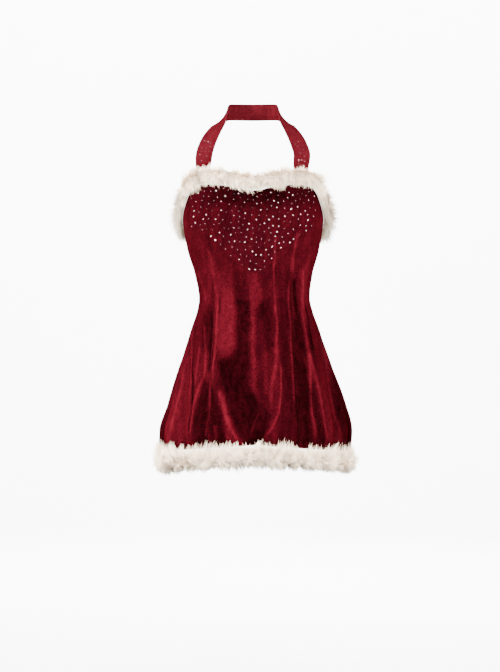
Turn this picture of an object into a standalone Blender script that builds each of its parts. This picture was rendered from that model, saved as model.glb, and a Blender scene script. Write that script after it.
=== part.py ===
"""Halter mini dress in velvet with fur trims, hollow and in the shape that it has when worn.

Metres, +Z up. The front faces -Y and the wearer's left is at +X. The origin is the inner face of the
halter strap at the nape, where the wearer's neck holds the dress. Heights are given as drops below it.
Angles run round the body from the centre front, through the wearer's left side, to the centre back.
"""

import math
from collections import namedtuple

import bmesh
import bpy
import numpy as np
from mathutils import Matrix, Vector

# Driving sizes.
CLOTH = 0.0020  # thickness of the velvet wall
SEAM_GAP = 0.0003  # between two panels at a seam
TRIM_GAP = 0.0004  # between the cloth and what is sewn on it
ROWS = 17  # rows of quads down a panel, from the top edge to the hem
TOP_BAND = 0.026  # cloth behind the fur at the top edge
HEM_BAND = 0.030  # cloth behind the fur at the hem
SEAM_DIP = 0.0010  # how far the cloth is drawn in along a seam
SEAM_DIP_WIDE = 0.0035
SLOPE_STEP = 1e-4  # step for slopes of the cloth, in radians and in metres
SEAM_PASSES = 8  # passes that bring a panel's columns onto its seams

# Sections of the worn dress: x of its middle, half width, foremost and rearmost y, and how square it is.
# The skirt swings a little to the wearer's left.
Section = namedtuple("Section", "level drop middle half_width front back square")
SECTIONS = (
    Section("above the chest", 0.100, 0.0000, 0.1310, -0.128, 0.022, 2.60),
    Section("chest", 0.147, 0.0000, 0.1380, -0.152, 0.030, 2.60),
    Section("armpit", 0.196, 0.0000, 0.1440, -0.180, 0.037, 2.50),
    Section("bust", 0.240, 0.0000, 0.1490, -0.194, 0.036, 2.40),
    Section("under bust", 0.302, 0.0005, 0.1400, -0.187, 0.022, 2.30),
    Section("midriff", 0.355, 0.0015, 0.1250, -0.174, 0.010, 2.25),
    Section("waist", 0.405, 0.0030, 0.1178, -0.168, 0.006, 2.20),
    Section("high hip", 0.481, 0.0040, 0.1378, -0.181, 0.027, 2.15),
    Section("hip", 0.558, 0.0060, 0.1628, -0.201, 0.054, 2.10),
    Section("thigh", 0.635, 0.0085, 0.1858, -0.222, 0.074, 2.05),
    Section("above the hem", 0.690, 0.0060, 0.2000, -0.235, 0.085, 2.05),
    Section("in the hem trim", 0.720, 0.0045, 0.1980, -0.236, 0.087, 2.05),
    Section("hem", 0.765, 0.0040, 0.1900, -0.232, 0.084, 2.05),
)

# Edges of the cloth round the body.
Edge = namedtuple("Edge", "degrees drop")
TOP_EDGE = (
    Edge(0, 0.1595),
    Edge(7, 0.1578),
    Edge(14, 0.1528),
    Edge(25, 0.1478),
    Edge(38, 0.1448),
    Edge(46, 0.1453),
    Edge(53, 0.1495),
    Edge(61, 0.1605),
    Edge(70, 0.1810),
    Edge(80, 0.2035),
    Edge(91, 0.2220),
    Edge(105, 0.2375),
    Edge(125, 0.2495),
    Edge(180, 0.2540),
)
HEM_EDGE = (Edge(0, 0.7375), Edge(45, 0.7500), Edge(90, 0.7610), Edge(180, 0.7560))

# Seams as angles at each drop. Right is the wearer's right, which is at -X.
SeamRow = namedtuple("SeamRow", "drop front_right front_left side back")
SEAMS = (
    SeamRow(0.100, -51, 48, 92, 143),
    SeamRow(0.147, -50, 47, 92, 143),
    SeamRow(0.240, -40, 37, 92, 143),
    SeamRow(0.302, -38, 35, 92, 143),
    SeamRow(0.405, -41, 38.5, 92, 142),
    SeamRow(0.481, -37, 33.5, 92, 145),
    SeamRow(0.558, -34, 28.5, 93, 148),
    SeamRow(0.635, -30.5, 25.5, 94, 150),
    SeamRow(0.765, -29, 24.5, 94, 151),
)

# Bust, shaped by the princess seams.
BUST_RISE, BUST_OUT, BUST_DROP = 0.012, 0.078, 0.236
BUST_WIDE, BUST_TALL = 0.050, 0.055

# Folds of the cloth: a ridge has a height above 0 and a trough one below. The angle is given at the fold's
# top, middle and end. A fold whose end is past the hem runs out over it, and any other dies away.
PAST_HEM = 0.80
Fold = namedtuple("Fold", "top end top_deg middle_deg end_deg height wide")
FOLDS = (
    # The front, as the photograph shows it.
    Fold(0.330, 0.640, -1, -1, -1, 0.0020, 0.012),
    Fold(0.270, 0.690, 21, 19.5, 10, 0.0036, 0.010),
    Fold(0.540, PAST_HEM, 20, 14, -3, 0.0050, 0.013),
    Fold(0.540, PAST_HEM, -25, -17, -4, 0.0050, 0.013),
    Fold(0.420, PAST_HEM, -55, -47, -35, 0.0045, 0.016),
    Fold(0.400, PAST_HEM, -71, -55, -42, -0.0055, 0.010),
    Fold(0.420, PAST_HEM, -82, -68, -56, 0.0060, 0.024),
    Fold(0.420, PAST_HEM, 48, 37, 31, -0.0040, 0.012),
    Fold(0.390, PAST_HEM, 62, 46, 38, 0.0055, 0.011),
    Fold(0.500, PAST_HEM, 50, 49, 47.5, 0.0050, 0.010),
    Fold(0.430, PAST_HEM, 76, 60, 53, -0.0050, 0.011),
    Fold(0.410, PAST_HEM, 88, 70, 60, 0.0065, 0.014),
    # The sides and the back.
    Fold(0.450, PAST_HEM, -94, -84, -74, -0.0065, 0.014),
    Fold(0.440, PAST_HEM, -104, -98, -90, 0.0075, 0.018),
    Fold(0.470, PAST_HEM, -116, -110, -106, -0.0060, 0.014),
    Fold(0.480, PAST_HEM, -128, -123, -121, 0.0070, 0.018),
    Fold(0.520, PAST_HEM, -140, -138, -137, -0.0060, 0.013),
    Fold(0.500, PAST_HEM, -150, -151, -153, 0.0065, 0.017),
    Fold(0.540, PAST_HEM, -162, -166, -168, -0.0055, 0.014),
    Fold(0.450, PAST_HEM, 96, 86, 76, -0.0060, 0.013),
    Fold(0.440, PAST_HEM, 106, 100, 90, 0.0080, 0.017),
    Fold(0.480, PAST_HEM, 118, 113, 105, -0.0065, 0.014),
    Fold(0.460, PAST_HEM, 130, 126, 119, 0.0070, 0.017),
    Fold(0.530, PAST_HEM, 142, 140, 134, -0.0055, 0.013),
    Fold(0.500, PAST_HEM, 152, 153, 149, 0.0075, 0.018),
    Fold(0.540, PAST_HEM, 164, 166, 164, -0.0060, 0.013),
    Fold(0.530, PAST_HEM, 174, 177, 178, 0.0060, 0.016),
)

# Fur trims, as profiles: out from the cloth, and up along it from its edge. The first point lies on the
# cloth where the strip ends and the second at the cloth's edge.
ProfilePoint = namedtuple("ProfilePoint", "out up")
TOP_FUR = (
    ProfilePoint(TRIM_GAP, -TOP_BAND),
    ProfilePoint(TRIM_GAP, 0.0004),
    ProfilePoint(0.0030, 0.0030),
    ProfilePoint(0.0080, 0.0042),
    ProfilePoint(0.0150, 0.0010),
    ProfilePoint(0.0190, -0.0070),
    ProfilePoint(0.0195, -0.0165),
    ProfilePoint(0.0155, -0.0255),
    ProfilePoint(0.0080, -0.0305),
)
HEM_FUR = (
    ProfilePoint(TRIM_GAP, HEM_BAND),
    ProfilePoint(TRIM_GAP, -TRIM_GAP),
    ProfilePoint(-CLOTH - 0.0020, -TRIM_GAP),
    ProfilePoint(-CLOTH - 0.0005, -0.0070),
    ProfilePoint(0.0040, -0.0105),
    ProfilePoint(0.0105, -0.0080),
    ProfilePoint(0.0145, 0.0020),
    ProfilePoint(0.0150, 0.0170),
    ProfilePoint(0.0110, 0.0280),
    ProfilePoint(0.0045, 0.0330),
)
FUR_FULL = 0.0140  # past this far out, the fur hides half of the folds under it
FUR_EVENS = 0.5
FUR_LUMP = 0.0012  # how far the fur's outline wanders
LUMP_WAVES = ((5, 0.3, 1.0), (11, 1.7, 0.8), (23, 4.1, 0.6))  # waves round the body, phase, share
FUR_END_DEG = 179.75  # where each end of the neckline fur stops, beside the zip

# Halter strap: the wearer's left half, and the right half is its mirror image above the cloth. Each station
# has a point on the inner face's middle line and the way from the edge next to the neck to the far edge.
STRAP_WIDE = 0.036
STRAP_CROWN = 0.0009  # how far the strap's middle stands above its edges
STRAP_ON_CLOTH = 0.016  # the strap leaves the cloth's surface within this distance of its edge
STRAP_COLUMNS = 2  # columns that carry the strap on each side of the front seam
STRAP_STEPS = 26
Station = namedtuple("Station", "x y z wide_x wide_y wide_z")
STRAP = (
    Station(0.1030, -0.1150, -0.1050, 0.96, 0.20, 0.00),
    Station(0.0970, -0.1100, -0.0830, 0.92, 0.30, 0.10),
    Station(0.0875, -0.1020, -0.0620, 0.84, 0.48, 0.15),
    Station(0.0760, -0.0900, -0.0420, 0.66, 0.70, 0.15),
    Station(0.0660, -0.0720, -0.0250, 0.45, 0.80, -0.20),
    Station(0.0590, -0.0570, -0.0140, 0.26, 0.66, -0.60),
    Station(0.0545, -0.0430, -0.0070, 0.14, 0.48, -0.84),
    Station(0.0490, -0.0260, -0.0030, 0.12, 0.44, -0.89),
    Station(0.0390, -0.0120, -0.0010, 0.10, 0.40, -0.91),
    Station(0.0220, -0.0030, 0.0000, 0.06, 0.36, -0.93),
    Station(0.0000, 0.0000, 0.0000, 0.00, 0.34, -0.94),
)

# Zip slider and pull tab, outside the centre back seam. The tab hangs straight down in the slider's bridge.
SLIDER_BELOW_EDGE = 0.0420  # from the cloth's top edge down to the slider's middle
SLIDER_OFF = -0.0003  # from the body's surface to the plate, which covers the hollow of the seam
PLATE_LONG, PLATE_WIDE, PLATE_THICK = 0.0100, 0.0050, 0.0012
BRIDGE_LONG, BRIDGE_WIDE, BRIDGE_BAR, BRIDGE_LEG = 0.0088, 0.0016, 0.0010, 0.0012
BRIDGE_CLEAR = 0.0018  # height of the gap under the bridge
BRIDGE_SUNK = 0.0003  # how far the bridge's legs reach into the plate before they are joined
BRIDGE_ROUND = 0.0006  # chamfer on the bridge's upper corners
TAB_BAR = 0.0010  # thickness of the tab, and of its bar that hangs in the bridge
TAB_LONG, TAB_TOP_WIDE, TAB_LOW_WIDE = 0.0240, 0.0048, 0.0072
TAB_ROUND_STEPS = 8
EYE_LONG, EYE_WIDE = 0.0032, 0.0023
HANG_CLEAR = 0.0004  # from the hanging bar to the bridge's lower leg

# Colours as linear red, green and blue, with roughness and metallic values.
Finish = namedtuple("Finish", "colour roughness metallic")
VELVET = Finish((0.145, 0.006, 0.014), 0.85, 0.0)
STRAP_VELVET = Finish((0.220, 0.012, 0.022), 0.85, 0.0)
FUR = Finish((0.84, 0.81, 0.77), 0.95, 0.0)
RED_METAL = Finish((0.160, 0.010, 0.016), 0.35, 0.7)


def smooth_curve(positions, values, at):
    """Values read from a smooth curve through a table, which never overshoots it."""
    positions, values = np.asarray(positions, float), np.asarray(values, float)
    gaps = np.diff(positions)
    rises = np.diff(values) / gaps
    before, after = rises[:-1], rises[1:]
    same_way = before * after > 0
    slopes = np.concatenate([rises[:1], np.zeros(len(before)), rises[-1:]])
    slopes[1:-1][same_way] = (2 * before * after)[same_way] / (before + after)[same_way]
    at = np.clip(at, positions[0], positions[-1])
    i = np.clip(np.searchsorted(positions, at) - 1, 0, len(gaps) - 1)
    s = (at - positions[i]) / gaps[i]
    start, end = values[i], values[i + 1]
    out, into = slopes[i] * gaps[i], slopes[i + 1] * gaps[i]
    bend = 2 * (start - end) + out + into
    return start + s * (out + s * (3 * (end - start) - 2 * out - into + s * bend))


def column(table, name):
    return [getattr(row, name) for row in table]


def edge_drop(table, angle):
    """Drop of an edge of the cloth at an angle, the same on both sides of the body."""
    degrees = np.degrees(np.abs((np.asarray(angle) + np.pi) % (2 * np.pi) - np.pi))
    return smooth_curve(column(table, "degrees"), column(table, "drop"), degrees)


def section_at(drop, name):
    return smooth_curve(column(SECTIONS, "drop"), column(SECTIONS, name), drop)


def body(angle, drop):
    """Point of the cloth before its folds: a rounded section with the bust's two rises."""
    wide, square = section_at(drop, "half_width"), section_at(drop, "square")
    front, back = section_at(drop, "front"), section_at(drop, "back")
    sine, cosine = np.sin(angle), np.cos(angle)
    swell = (np.abs(sine) ** square + np.abs(cosine) ** square) ** (-1 / square)
    x = wide * sine * swell
    y = (front + back) / 2 - (back - front) / 2 * cosine * swell
    across = (np.abs(x) - BUST_OUT) / BUST_WIDE
    down = (drop - BUST_DROP) / BUST_TALL
    y = y - BUST_RISE * np.exp(-(across**2) - down**2) * np.clip(cosine * 2, 0, 1)
    return np.stack([x + section_at(drop, "middle"), y, -drop], axis=-1)


def unit(vectors):
    return vectors / np.linalg.norm(vectors, axis=-1, keepdims=True)


def outward(surface, angle, drop):
    """Unit normals of a surface, pointing away from the body."""
    h = SLOPE_STEP
    round_it = surface(angle + h, drop) - surface(angle - h, drop)
    down_it = surface(angle, drop + h) - surface(angle, drop - h)
    return unit(np.cross(down_it, round_it))


def smooth_step(share):
    share = np.clip(share, 0, 1)
    return share * share * (3 - 2 * share)


def turn_between(angle, other):
    return (angle - other + np.pi) % (2 * np.pi) - np.pi


def fold_height(fold, angle, drop, girth_radius):
    """How far one fold lifts the cloth."""
    s = np.clip((drop - fold.top) / (fold.end - fold.top), 0, 1)
    top, middle, end = (math.radians(d) for d in (fold.top_deg, fold.middle_deg, fold.end_deg))
    bend = top + end - 2 * middle
    path = top + s * (4 * middle - 3 * top - end + 2 * s * bend)
    away = turn_between(angle, path) * girth_radius / fold.wide
    along = smooth_step(s * 2) if fold.end == PAST_HEM else np.sin(np.pi * s) ** 2
    return fold.height * along * np.exp(-(away**2))


def seam_angles(name, drop):
    """Angle of a seam at each drop. The side and back seams have a mirror image on the right."""
    sign = -1 if name.endswith("_right") and not name.startswith("front") else 1
    key = name if name.startswith("front") else name.split("_")[0]
    return np.radians(sign * smooth_curve(column(SEAMS, "drop"), column(SEAMS, key), drop))


def seam_line(name, drop):
    if name == "centre_back_right":
        return np.full_like(np.asarray(drop, float), -np.pi)
    if name == "centre_back_left":
        return np.full_like(np.asarray(drop, float), np.pi)
    return seam_angles(name, drop)


SEAM_NAMES = (
    "front_right", "front_left", "side_right", "side_left",
    "back_right", "back_left", "centre_back_left",
)  # fmt: skip


def lift(angle, drop):
    """How far the folds and the seams move the cloth out from the body."""
    girth_radius = (section_at(drop, "half_width") * 2 + section_at(drop, "back")
                    - section_at(drop, "front")) / 4
    height = sum(fold_height(fold, angle, drop, girth_radius) for fold in FOLDS)
    for name in SEAM_NAMES:
        away = turn_between(angle, seam_line(name, drop)) * girth_radius / SEAM_DIP_WIDE
        height = height - SEAM_DIP * np.exp(-(away**2))
    return height


def cloth(angle, drop):
    """Point of the velvet's outer face."""
    angle, drop = np.broadcast_arrays(np.asarray(angle, float), np.asarray(drop, float))
    return body(angle, drop) + outward(body, angle, drop) * lift(angle, drop)[..., None]


def drops_at(angles):
    """Drops of a grid of angles, whose rows run from the top edge to the hem."""
    top, hem = edge_drop(TOP_EDGE, angles), edge_drop(HEM_EDGE, angles)
    first, last = top + TOP_BAND, hem - HEM_BAND
    drops = first + (last - first) * (np.arange(ROWS + 1)[:, None] - 1) / (ROWS - 2)
    drops[0], drops[-1] = top[0], hem[-1]
    return drops


Panel = namedtuple("Panel", "name start end columns")
PANELS = (
    Panel("centre_back_right", "centre_back_right", "back_right", 11),
    Panel("side_back_right", "back_right", "side_right", 13),
    Panel("side_front_right", "side_right", "front_right", 15),
    Panel("centre_front", "front_right", "front_left", 18),
    Panel("side_front_left", "front_left", "side_left", 15),
    Panel("side_back_left", "side_left", "back_left", 13),
    Panel("centre_back_left", "back_left", "centre_back_left", 11),
)


def panel_angles(panel):
    """Angles of a panel's points, with a column for each line down it, spread evenly between its seams."""
    share = np.linspace(0, 1, panel.columns + 1)
    angles = np.ones((ROWS + 1, 1)) * (seam_line(panel.start, SECTIONS[-1].drop) * (1 - share)
                                       + seam_line(panel.end, SECTIONS[-1].drop) * share)
    for _ in range(SEAM_PASSES):
        drops = drops_at(angles)
        angles = seam_line(panel.start, drops) * (1 - share) + seam_line(panel.end, drops) * share
    return angles


def material(name, finish):
    made = bpy.data.materials.new(name)
    made.use_nodes = True
    shader = made.node_tree.nodes["Principled BSDF"]
    shader.inputs["Base Color"].default_value = (*finish.colour, 1)
    shader.inputs["Roughness"].default_value = finish.roughness
    shader.inputs["Metallic"].default_value = finish.metallic
    return made


def add_object(name, points, faces, finish, place=Matrix.Identity(4)):
    """A mesh object whose faces point out, shaded smooth, with its own material."""
    mesh = bpy.data.meshes.new(name)
    mesh.from_pydata([tuple(map(float, p)) for p in points], [], [tuple(map(int, f)) for f in faces])
    shape = bmesh.new()
    shape.from_mesh(mesh)
    bmesh.ops.triangulate(shape, faces=[f for f in shape.faces if len(f.verts) > 3])
    bmesh.ops.recalc_face_normals(shape, faces=shape.faces)
    shape.to_mesh(mesh)
    shape.free()
    mesh.shade_smooth()
    mesh.set_sharp_from_angle(angle=math.radians(40))
    obj = bpy.data.objects.new(name, mesh)
    obj.matrix_world = place
    bpy.context.scene.collection.objects.link(obj)
    obj.data.materials.append(material(name, finish))
    return obj


def wall(name, outer, inner, finish):
    """Closed wall between two grids of points."""
    rows, columns = outer.shape[:2]
    layer = rows * columns
    number = np.arange(layer).reshape(rows, columns)
    a, b, c, d = number[:-1, :-1], number[:-1, 1:], number[1:, 1:], number[1:, :-1]
    split = np.stack([np.stack([a, b, c], -1), np.stack([a, c, d], -1)]).reshape(-1, 3)
    rim = np.concatenate([number[0, :-1], number[:-1, -1], number[-1, :0:-1], number[:0:-1, 0]])
    following = np.roll(rim, -1)
    sides = np.concatenate([
        np.stack([rim, rim + layer, following + layer], -1),
        np.stack([rim, following + layer, following], -1),
    ])  # fmt: skip
    faces = np.concatenate([split, split[:, ::-1] + layer, sides])
    return add_object(name, np.concatenate([outer.reshape(-1, 3), inner.reshape(-1, 3)]), faces, finish)


def make_panel(panel):
    angles = panel_angles(panel)
    drops = drops_at(angles)
    along = np.linalg.norm(cloth(angles + SLOPE_STEP, drops) - cloth(angles, drops), axis=-1)
    half_gap = SEAM_GAP / 2 * SLOPE_STEP / along
    angles[:, 0] += half_gap[:, 0]
    angles[:, -1] -= half_gap[:, -1]
    outer = cloth(angles, drops)
    return wall(panel.name, outer, outer - outward(cloth, angles, drops) * CLOTH, VELVET)


def columns_round(row):
    """Angles and drops of the panels' columns at one row, from the centre back round to it again."""
    ends = [panel_angles(panel)[:, :-1] for panel in PANELS] + [np.full((ROWS + 1, 1), np.pi)]
    angles = np.concatenate(ends, axis=1)
    return angles[row], drops_at(angles)[row]


def lumps(angles, phase):
    """How the fur's outline wanders round the body."""
    return sum(share * np.sin(waves * angles + start + phase) for waves, start, share in LUMP_WAVES)


def fur_strip(name, profile, edge_row, band_row):
    """Fur strip along an edge of the cloth: a ring at the hem, and open over the zip at the neckline."""
    ring = edge_row == ROWS
    band_place, edge_place = columns_round(band_row), columns_round(edge_row)
    if ring:
        band_place, edge_place = np.array(band_place)[:, :-1], np.array(edge_place)[:, :-1]
    else:
        end = math.radians(FUR_END_DEG)
        band_place = (band_place[0].clip(-end, end), band_place[1])
        edge_place = (edge_place[0].clip(-end, end), edge_place[1])
    band, edge = cloth(*band_place), cloth(*edge_place)
    up = unit(band - edge) if ring else unit(edge - band)
    out = outward(body, *edge_place)
    folds = lift(*edge_place)
    rows = [band + outward(body, *band_place) * profile[0].out]
    for number, point in enumerate(profile[1:]):
        fullness = min(max(point.out / FUR_FULL, 0), 1)
        wander = FUR_LUMP * fullness * lumps(edge_place[0], number) - FUR_EVENS * fullness * folds
        rows.append(edge + up * point.up + out * (point.out + wander)[:, None])
    points = np.stack(rows, axis=1)
    stations, around = points.shape[:2]
    number = np.arange(stations * around).reshape(stations, around)
    beside = np.roll(number, -1, axis=0)[: stations if ring else -1]
    number, last = number[: len(beside)], number[-1]
    a, b = number, np.roll(number, -1, axis=1)
    d, c = beside, np.roll(beside, -1, axis=1)
    corners = ((a, b, c), (a, c, d)) if ring else ((a, b, d), (b, c, d))
    faces = [tuple(f) for f in np.concatenate([np.stack(t, -1).reshape(-1, 3) for t in corners])]
    if not ring:
        faces += [tuple(number[0][::-1]), tuple(last)]
    return add_object(name, points.reshape(-1, 3), faces, FUR)


def strap_half(name, side):
    """Half of the halter strap, from the cloth's top edge to the nape. Side is 1 for the wearer's left."""
    angles_of = {p.name: panel_angles(p)[0] for p in PANELS}
    centre = angles_of["centre_front"]
    if side > 0:
        beside = angles_of["side_front_left"][1 : STRAP_COLUMNS + 1]
        angles = np.concatenate([centre[-1 - STRAP_COLUMNS :], beside])
    else:
        beside = angles_of["side_front_right"][-2 : -2 - STRAP_COLUMNS : -1]
        angles = np.concatenate([centre[STRAP_COLUMNS::-1], beside])

    def on_cloth(height):
        drops = edge_drop(TOP_EDGE, angles) - SEAM_GAP - height
        outer = cloth(angles, drops)
        return outer - outward(cloth, angles, drops) * CLOTH, outer

    mirror = np.array([side, 1, 1])
    feet = [on_cloth(height)[0] for height in (0, STRAP_ON_CLOTH)]
    middles = [(foot[0] + foot[-1]) / 2 for foot in feet]
    middles = np.array(middles + [np.array([s.x, s.y, s.z]) * mirror for s in STRAP])
    middles[-1, 0] = side * SEAM_GAP / 2
    ways = [unit(foot[-1] - foot[0]) for foot in feet]
    ways = np.array(ways + [np.array([s.wide_x, s.wide_y, s.wide_z]) * mirror for s in STRAP])
    along = np.concatenate([[0], np.cumsum(np.linalg.norm(np.diff(middles, axis=0), axis=1))])
    at = np.linspace(0, along[-1], STRAP_STEPS + 1)
    middle = np.stack([smooth_curve(along, column, at) for column in middles.T], axis=1)
    way = np.stack([smooth_curve(along, column, at) for column in ways.T], axis=1)
    tangent = unit(np.gradient(middle, axis=0))
    tangent[-1] = (-side, 0, 0)
    way = unit(way - tangent * (way * tangent).sum(axis=1, keepdims=True))
    normal = side * np.cross(way, tangent)
    across = np.linspace(-0.5, 0.5, len(angles))
    inner = (middle[:, None] + way[:, None] * (across * STRAP_WIDE)[None, :, None]
             - normal[:, None] * (STRAP_CROWN * 4 * across**2)[None, :, None])
    outer = inner + normal[:, None] * CLOTH
    for i, height in enumerate(at):
        on_it = 1 - smooth_step(height / STRAP_ON_CLOTH)
        if on_it > 0:
            low, high = on_cloth(height)
            inner[i] += (low - inner[i]) * on_it
            outer[i] += (high - outer[i]) * on_it
    return wall(name, outer, inner, STRAP_VELVET)


def prism(name, outline, half_depth, place, turned=False):
    """Flat plate with an outline: across and up, or up and out where it is turned to stand on edge."""
    points = []
    for side in (-half_depth, half_depth):
        points += [(side, u, v) if turned else (u, v, side) for u, v in outline]
    count = len(outline)
    faces = [tuple(range(count)), tuple(range(count, 2 * count))]
    faces += [(i, (i + 1) % count, (i + 1) % count + count, i + count) for i in range(count)]
    return add_object(name, points, faces, RED_METAL, place)


def combine(obj, other, operation):
    """Join another shape to an object, or cut it out, and keep that shape as a hidden guide."""
    change = obj.modifiers.new(operation.lower(), "BOOLEAN")
    change.operation = operation
    change.object = other
    other.hide_render = True
    other.display_type = "WIRE"


def slider_place():
    """Frame of the slider: across to the wearer's right, up along the seam and out from the cloth."""
    drop = edge_drop(TOP_EDGE, np.pi) + SLIDER_BELOW_EDGE
    out = Vector(outward(body, np.pi, drop))
    across = Vector((-1, 0, 0))
    up = out.cross(across)
    seat = Vector(body(np.pi, drop)) + out * SLIDER_OFF
    place = Matrix((across, up, out)).transposed().to_4x4()
    place.translation = seat
    return place


def tab_pivot():
    """Middle of the bar on which the tab swings."""
    up = -BRIDGE_LONG / 2 + BRIDGE_LEG + HANG_CLEAR + TAB_BAR / 2
    return slider_place() @ Vector((0, up, PLATE_THICK + BRIDGE_CLEAR / 2))


def make_slider():
    place = slider_place()
    half_long, half_wide = PLATE_LONG / 2, PLATE_WIDE / 2
    outline = [(half_wide * 0.6, -half_long), (half_wide, -half_long * 0.7),
               (half_wide, half_long * 0.5), (half_wide * 0.5, half_long)]
    outline += [(-u, v) for u, v in outline[::-1]]
    middle = place @ Matrix.Translation((0, 0, PLATE_THICK / 2))
    plate = prism("zip_slider", outline, PLATE_THICK / 2, middle)
    reach, foot = BRIDGE_LONG / 2, PLATE_THICK - BRIDGE_SUNK
    gap_top = PLATE_THICK + BRIDGE_CLEAR
    top = gap_top + BRIDGE_BAR
    inside = reach - BRIDGE_LEG
    arch = [(reach, foot), (reach, top - BRIDGE_ROUND), (reach - BRIDGE_ROUND, top)]
    arch += [(-u, v) for u, v in arch[::-1]]
    arch += [(-inside, foot), (-inside, gap_top), (inside, gap_top), (inside, foot)]
    bridge = prism("guide_bridge", arch, BRIDGE_WIDE / 2, place, turned=True)
    combine(plate, bridge, "UNION")


def make_tab():
    top, low = TAB_TOP_WIDE / 2, TAB_LOW_WIDE / 2
    start, end = TAB_BAR / 2, TAB_BAR / 2 - TAB_LONG
    turns = [math.pi * i / TAB_ROUND_STEPS for i in range(TAB_ROUND_STEPS + 1)]
    outline = [(low * math.cos(t), end + low - low * math.sin(t)) for t in turns]
    outline += [(-top, start - top * 0.6), (-top * 0.7, start)]
    outline += [(top * 0.7, start), (top, start - top * 0.6)]
    place = Matrix.Translation(tab_pivot()) @ Matrix(((-1, 0, 0), (0, 0, 1), (0, 1, 0))).to_4x4()
    tab = prism("zip_pull", outline, TAB_BAR / 2, place)
    eye_top, half_eye = -TAB_BAR / 2, EYE_WIDE / 2
    eye = [(half_eye, eye_top), (-half_eye, eye_top)]
    eye += [(u, v - EYE_LONG) for u, v in eye[::-1]]
    combine(tab, prism("guide_eye", eye, TAB_BAR, place), "DIFFERENCE")


def main():
    for obj in list(bpy.data.objects):
        bpy.data.objects.remove(obj)
    for panel in PANELS:
        make_panel(panel)
    strap_half("halter_strap_left", 1)
    strap_half("halter_strap_right", -1)
    fur_strip("neckline_fur", TOP_FUR, 0, 1)
    fur_strip("hem_fur", HEM_FUR, ROWS, ROWS - 1)
    make_slider()
    make_tab()


if __name__ == "__main__":
    main()
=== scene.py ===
"""Looks of a halter mini dress: velvet panels, halter strap, fur trims, rhinestones and the zip's metal.

Metres, +Z up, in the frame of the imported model. The front faces -Y and the wearer's left is at +X.
Heights are given as drops below the nape. Angles run round the body from the centre front, through the
wearer's left side, to the centre back.
"""

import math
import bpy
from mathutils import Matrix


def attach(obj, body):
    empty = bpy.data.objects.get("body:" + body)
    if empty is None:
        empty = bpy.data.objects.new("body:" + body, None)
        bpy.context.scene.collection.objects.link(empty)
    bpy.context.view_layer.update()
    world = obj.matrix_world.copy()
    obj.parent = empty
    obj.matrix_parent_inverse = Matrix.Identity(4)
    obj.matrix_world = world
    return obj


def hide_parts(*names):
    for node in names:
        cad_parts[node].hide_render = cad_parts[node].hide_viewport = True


bl_info = {
    "name": "Halter Mini Dress",
    "version": (1, 0, 0),
    "blender": (4, 5, 0),
    "location": "View3D > Sidebar > Dress",
    "description": "Dresses the packed model of a halter mini dress in velvet, fur and rhinestones",
    "category": "Object",
}

from collections import namedtuple
from functools import lru_cache

import bmesh
import bpy
import numpy as np
from bpy.props import FloatProperty, FloatVectorProperty, IntProperty, PointerProperty
from bpy.types import Operator, Panel, PropertyGroup
from mathutils import Vector

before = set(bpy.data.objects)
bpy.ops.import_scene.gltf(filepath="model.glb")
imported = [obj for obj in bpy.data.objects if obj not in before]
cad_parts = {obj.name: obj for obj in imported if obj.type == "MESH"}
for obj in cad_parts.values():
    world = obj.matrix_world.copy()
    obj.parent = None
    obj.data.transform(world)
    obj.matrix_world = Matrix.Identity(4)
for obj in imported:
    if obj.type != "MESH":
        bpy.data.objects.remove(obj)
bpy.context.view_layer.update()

# The worn form, with the same sizes as the solids.
CLOTH = 0.0020
SEAM_GAP = 0.0003
SEAM_DIP = 0.0010
SEAM_DIP_WIDE = 0.0035
SLOPE_STEP = 1e-4  # step over which a surface's slope is measured
SEAM_PASSES = 8  # times that a panel's points are moved nearer to its seams
TOP_BAND, HEM_BAND = 0.026, 0.030  # how far down and up the fur's backings reach

Section = namedtuple("Section", "level drop middle half_width front back square")
SECTIONS = (
    Section("above the chest", 0.100, 0.0000, 0.1310, -0.128, 0.022, 2.60),
    Section("chest", 0.147, 0.0000, 0.1380, -0.152, 0.030, 2.60),
    Section("armpit", 0.196, 0.0000, 0.1440, -0.180, 0.037, 2.50),
    Section("bust", 0.240, 0.0000, 0.1490, -0.194, 0.036, 2.40),
    Section("under bust", 0.302, 0.0005, 0.1400, -0.187, 0.022, 2.30),
    Section("midriff", 0.355, 0.0015, 0.1250, -0.174, 0.010, 2.25),
    Section("waist", 0.405, 0.0030, 0.1178, -0.168, 0.006, 2.20),
    Section("high hip", 0.481, 0.0040, 0.1378, -0.181, 0.027, 2.15),
    Section("hip", 0.558, 0.0060, 0.1628, -0.201, 0.054, 2.10),
    Section("thigh", 0.635, 0.0085, 0.1858, -0.222, 0.074, 2.05),
    Section("above the hem", 0.690, 0.0060, 0.2000, -0.235, 0.085, 2.05),
    Section("in the hem trim", 0.720, 0.0045, 0.1980, -0.236, 0.087, 2.05),
    Section("hem", 0.765, 0.0040, 0.1900, -0.232, 0.084, 2.05),
)

Edge = namedtuple("Edge", "degrees drop")
TOP_EDGE = (
    Edge(0, 0.1595),
    Edge(7, 0.1578),
    Edge(14, 0.1528),
    Edge(25, 0.1478),
    Edge(38, 0.1448),
    Edge(46, 0.1453),
    Edge(53, 0.1495),
    Edge(61, 0.1605),
    Edge(70, 0.1810),
    Edge(80, 0.2035),
    Edge(91, 0.2220),
    Edge(105, 0.2375),
    Edge(125, 0.2495),
    Edge(180, 0.2540),
)
HEM_EDGE = (Edge(0, 0.7375), Edge(45, 0.7500), Edge(90, 0.7610), Edge(180, 0.7560))

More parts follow.
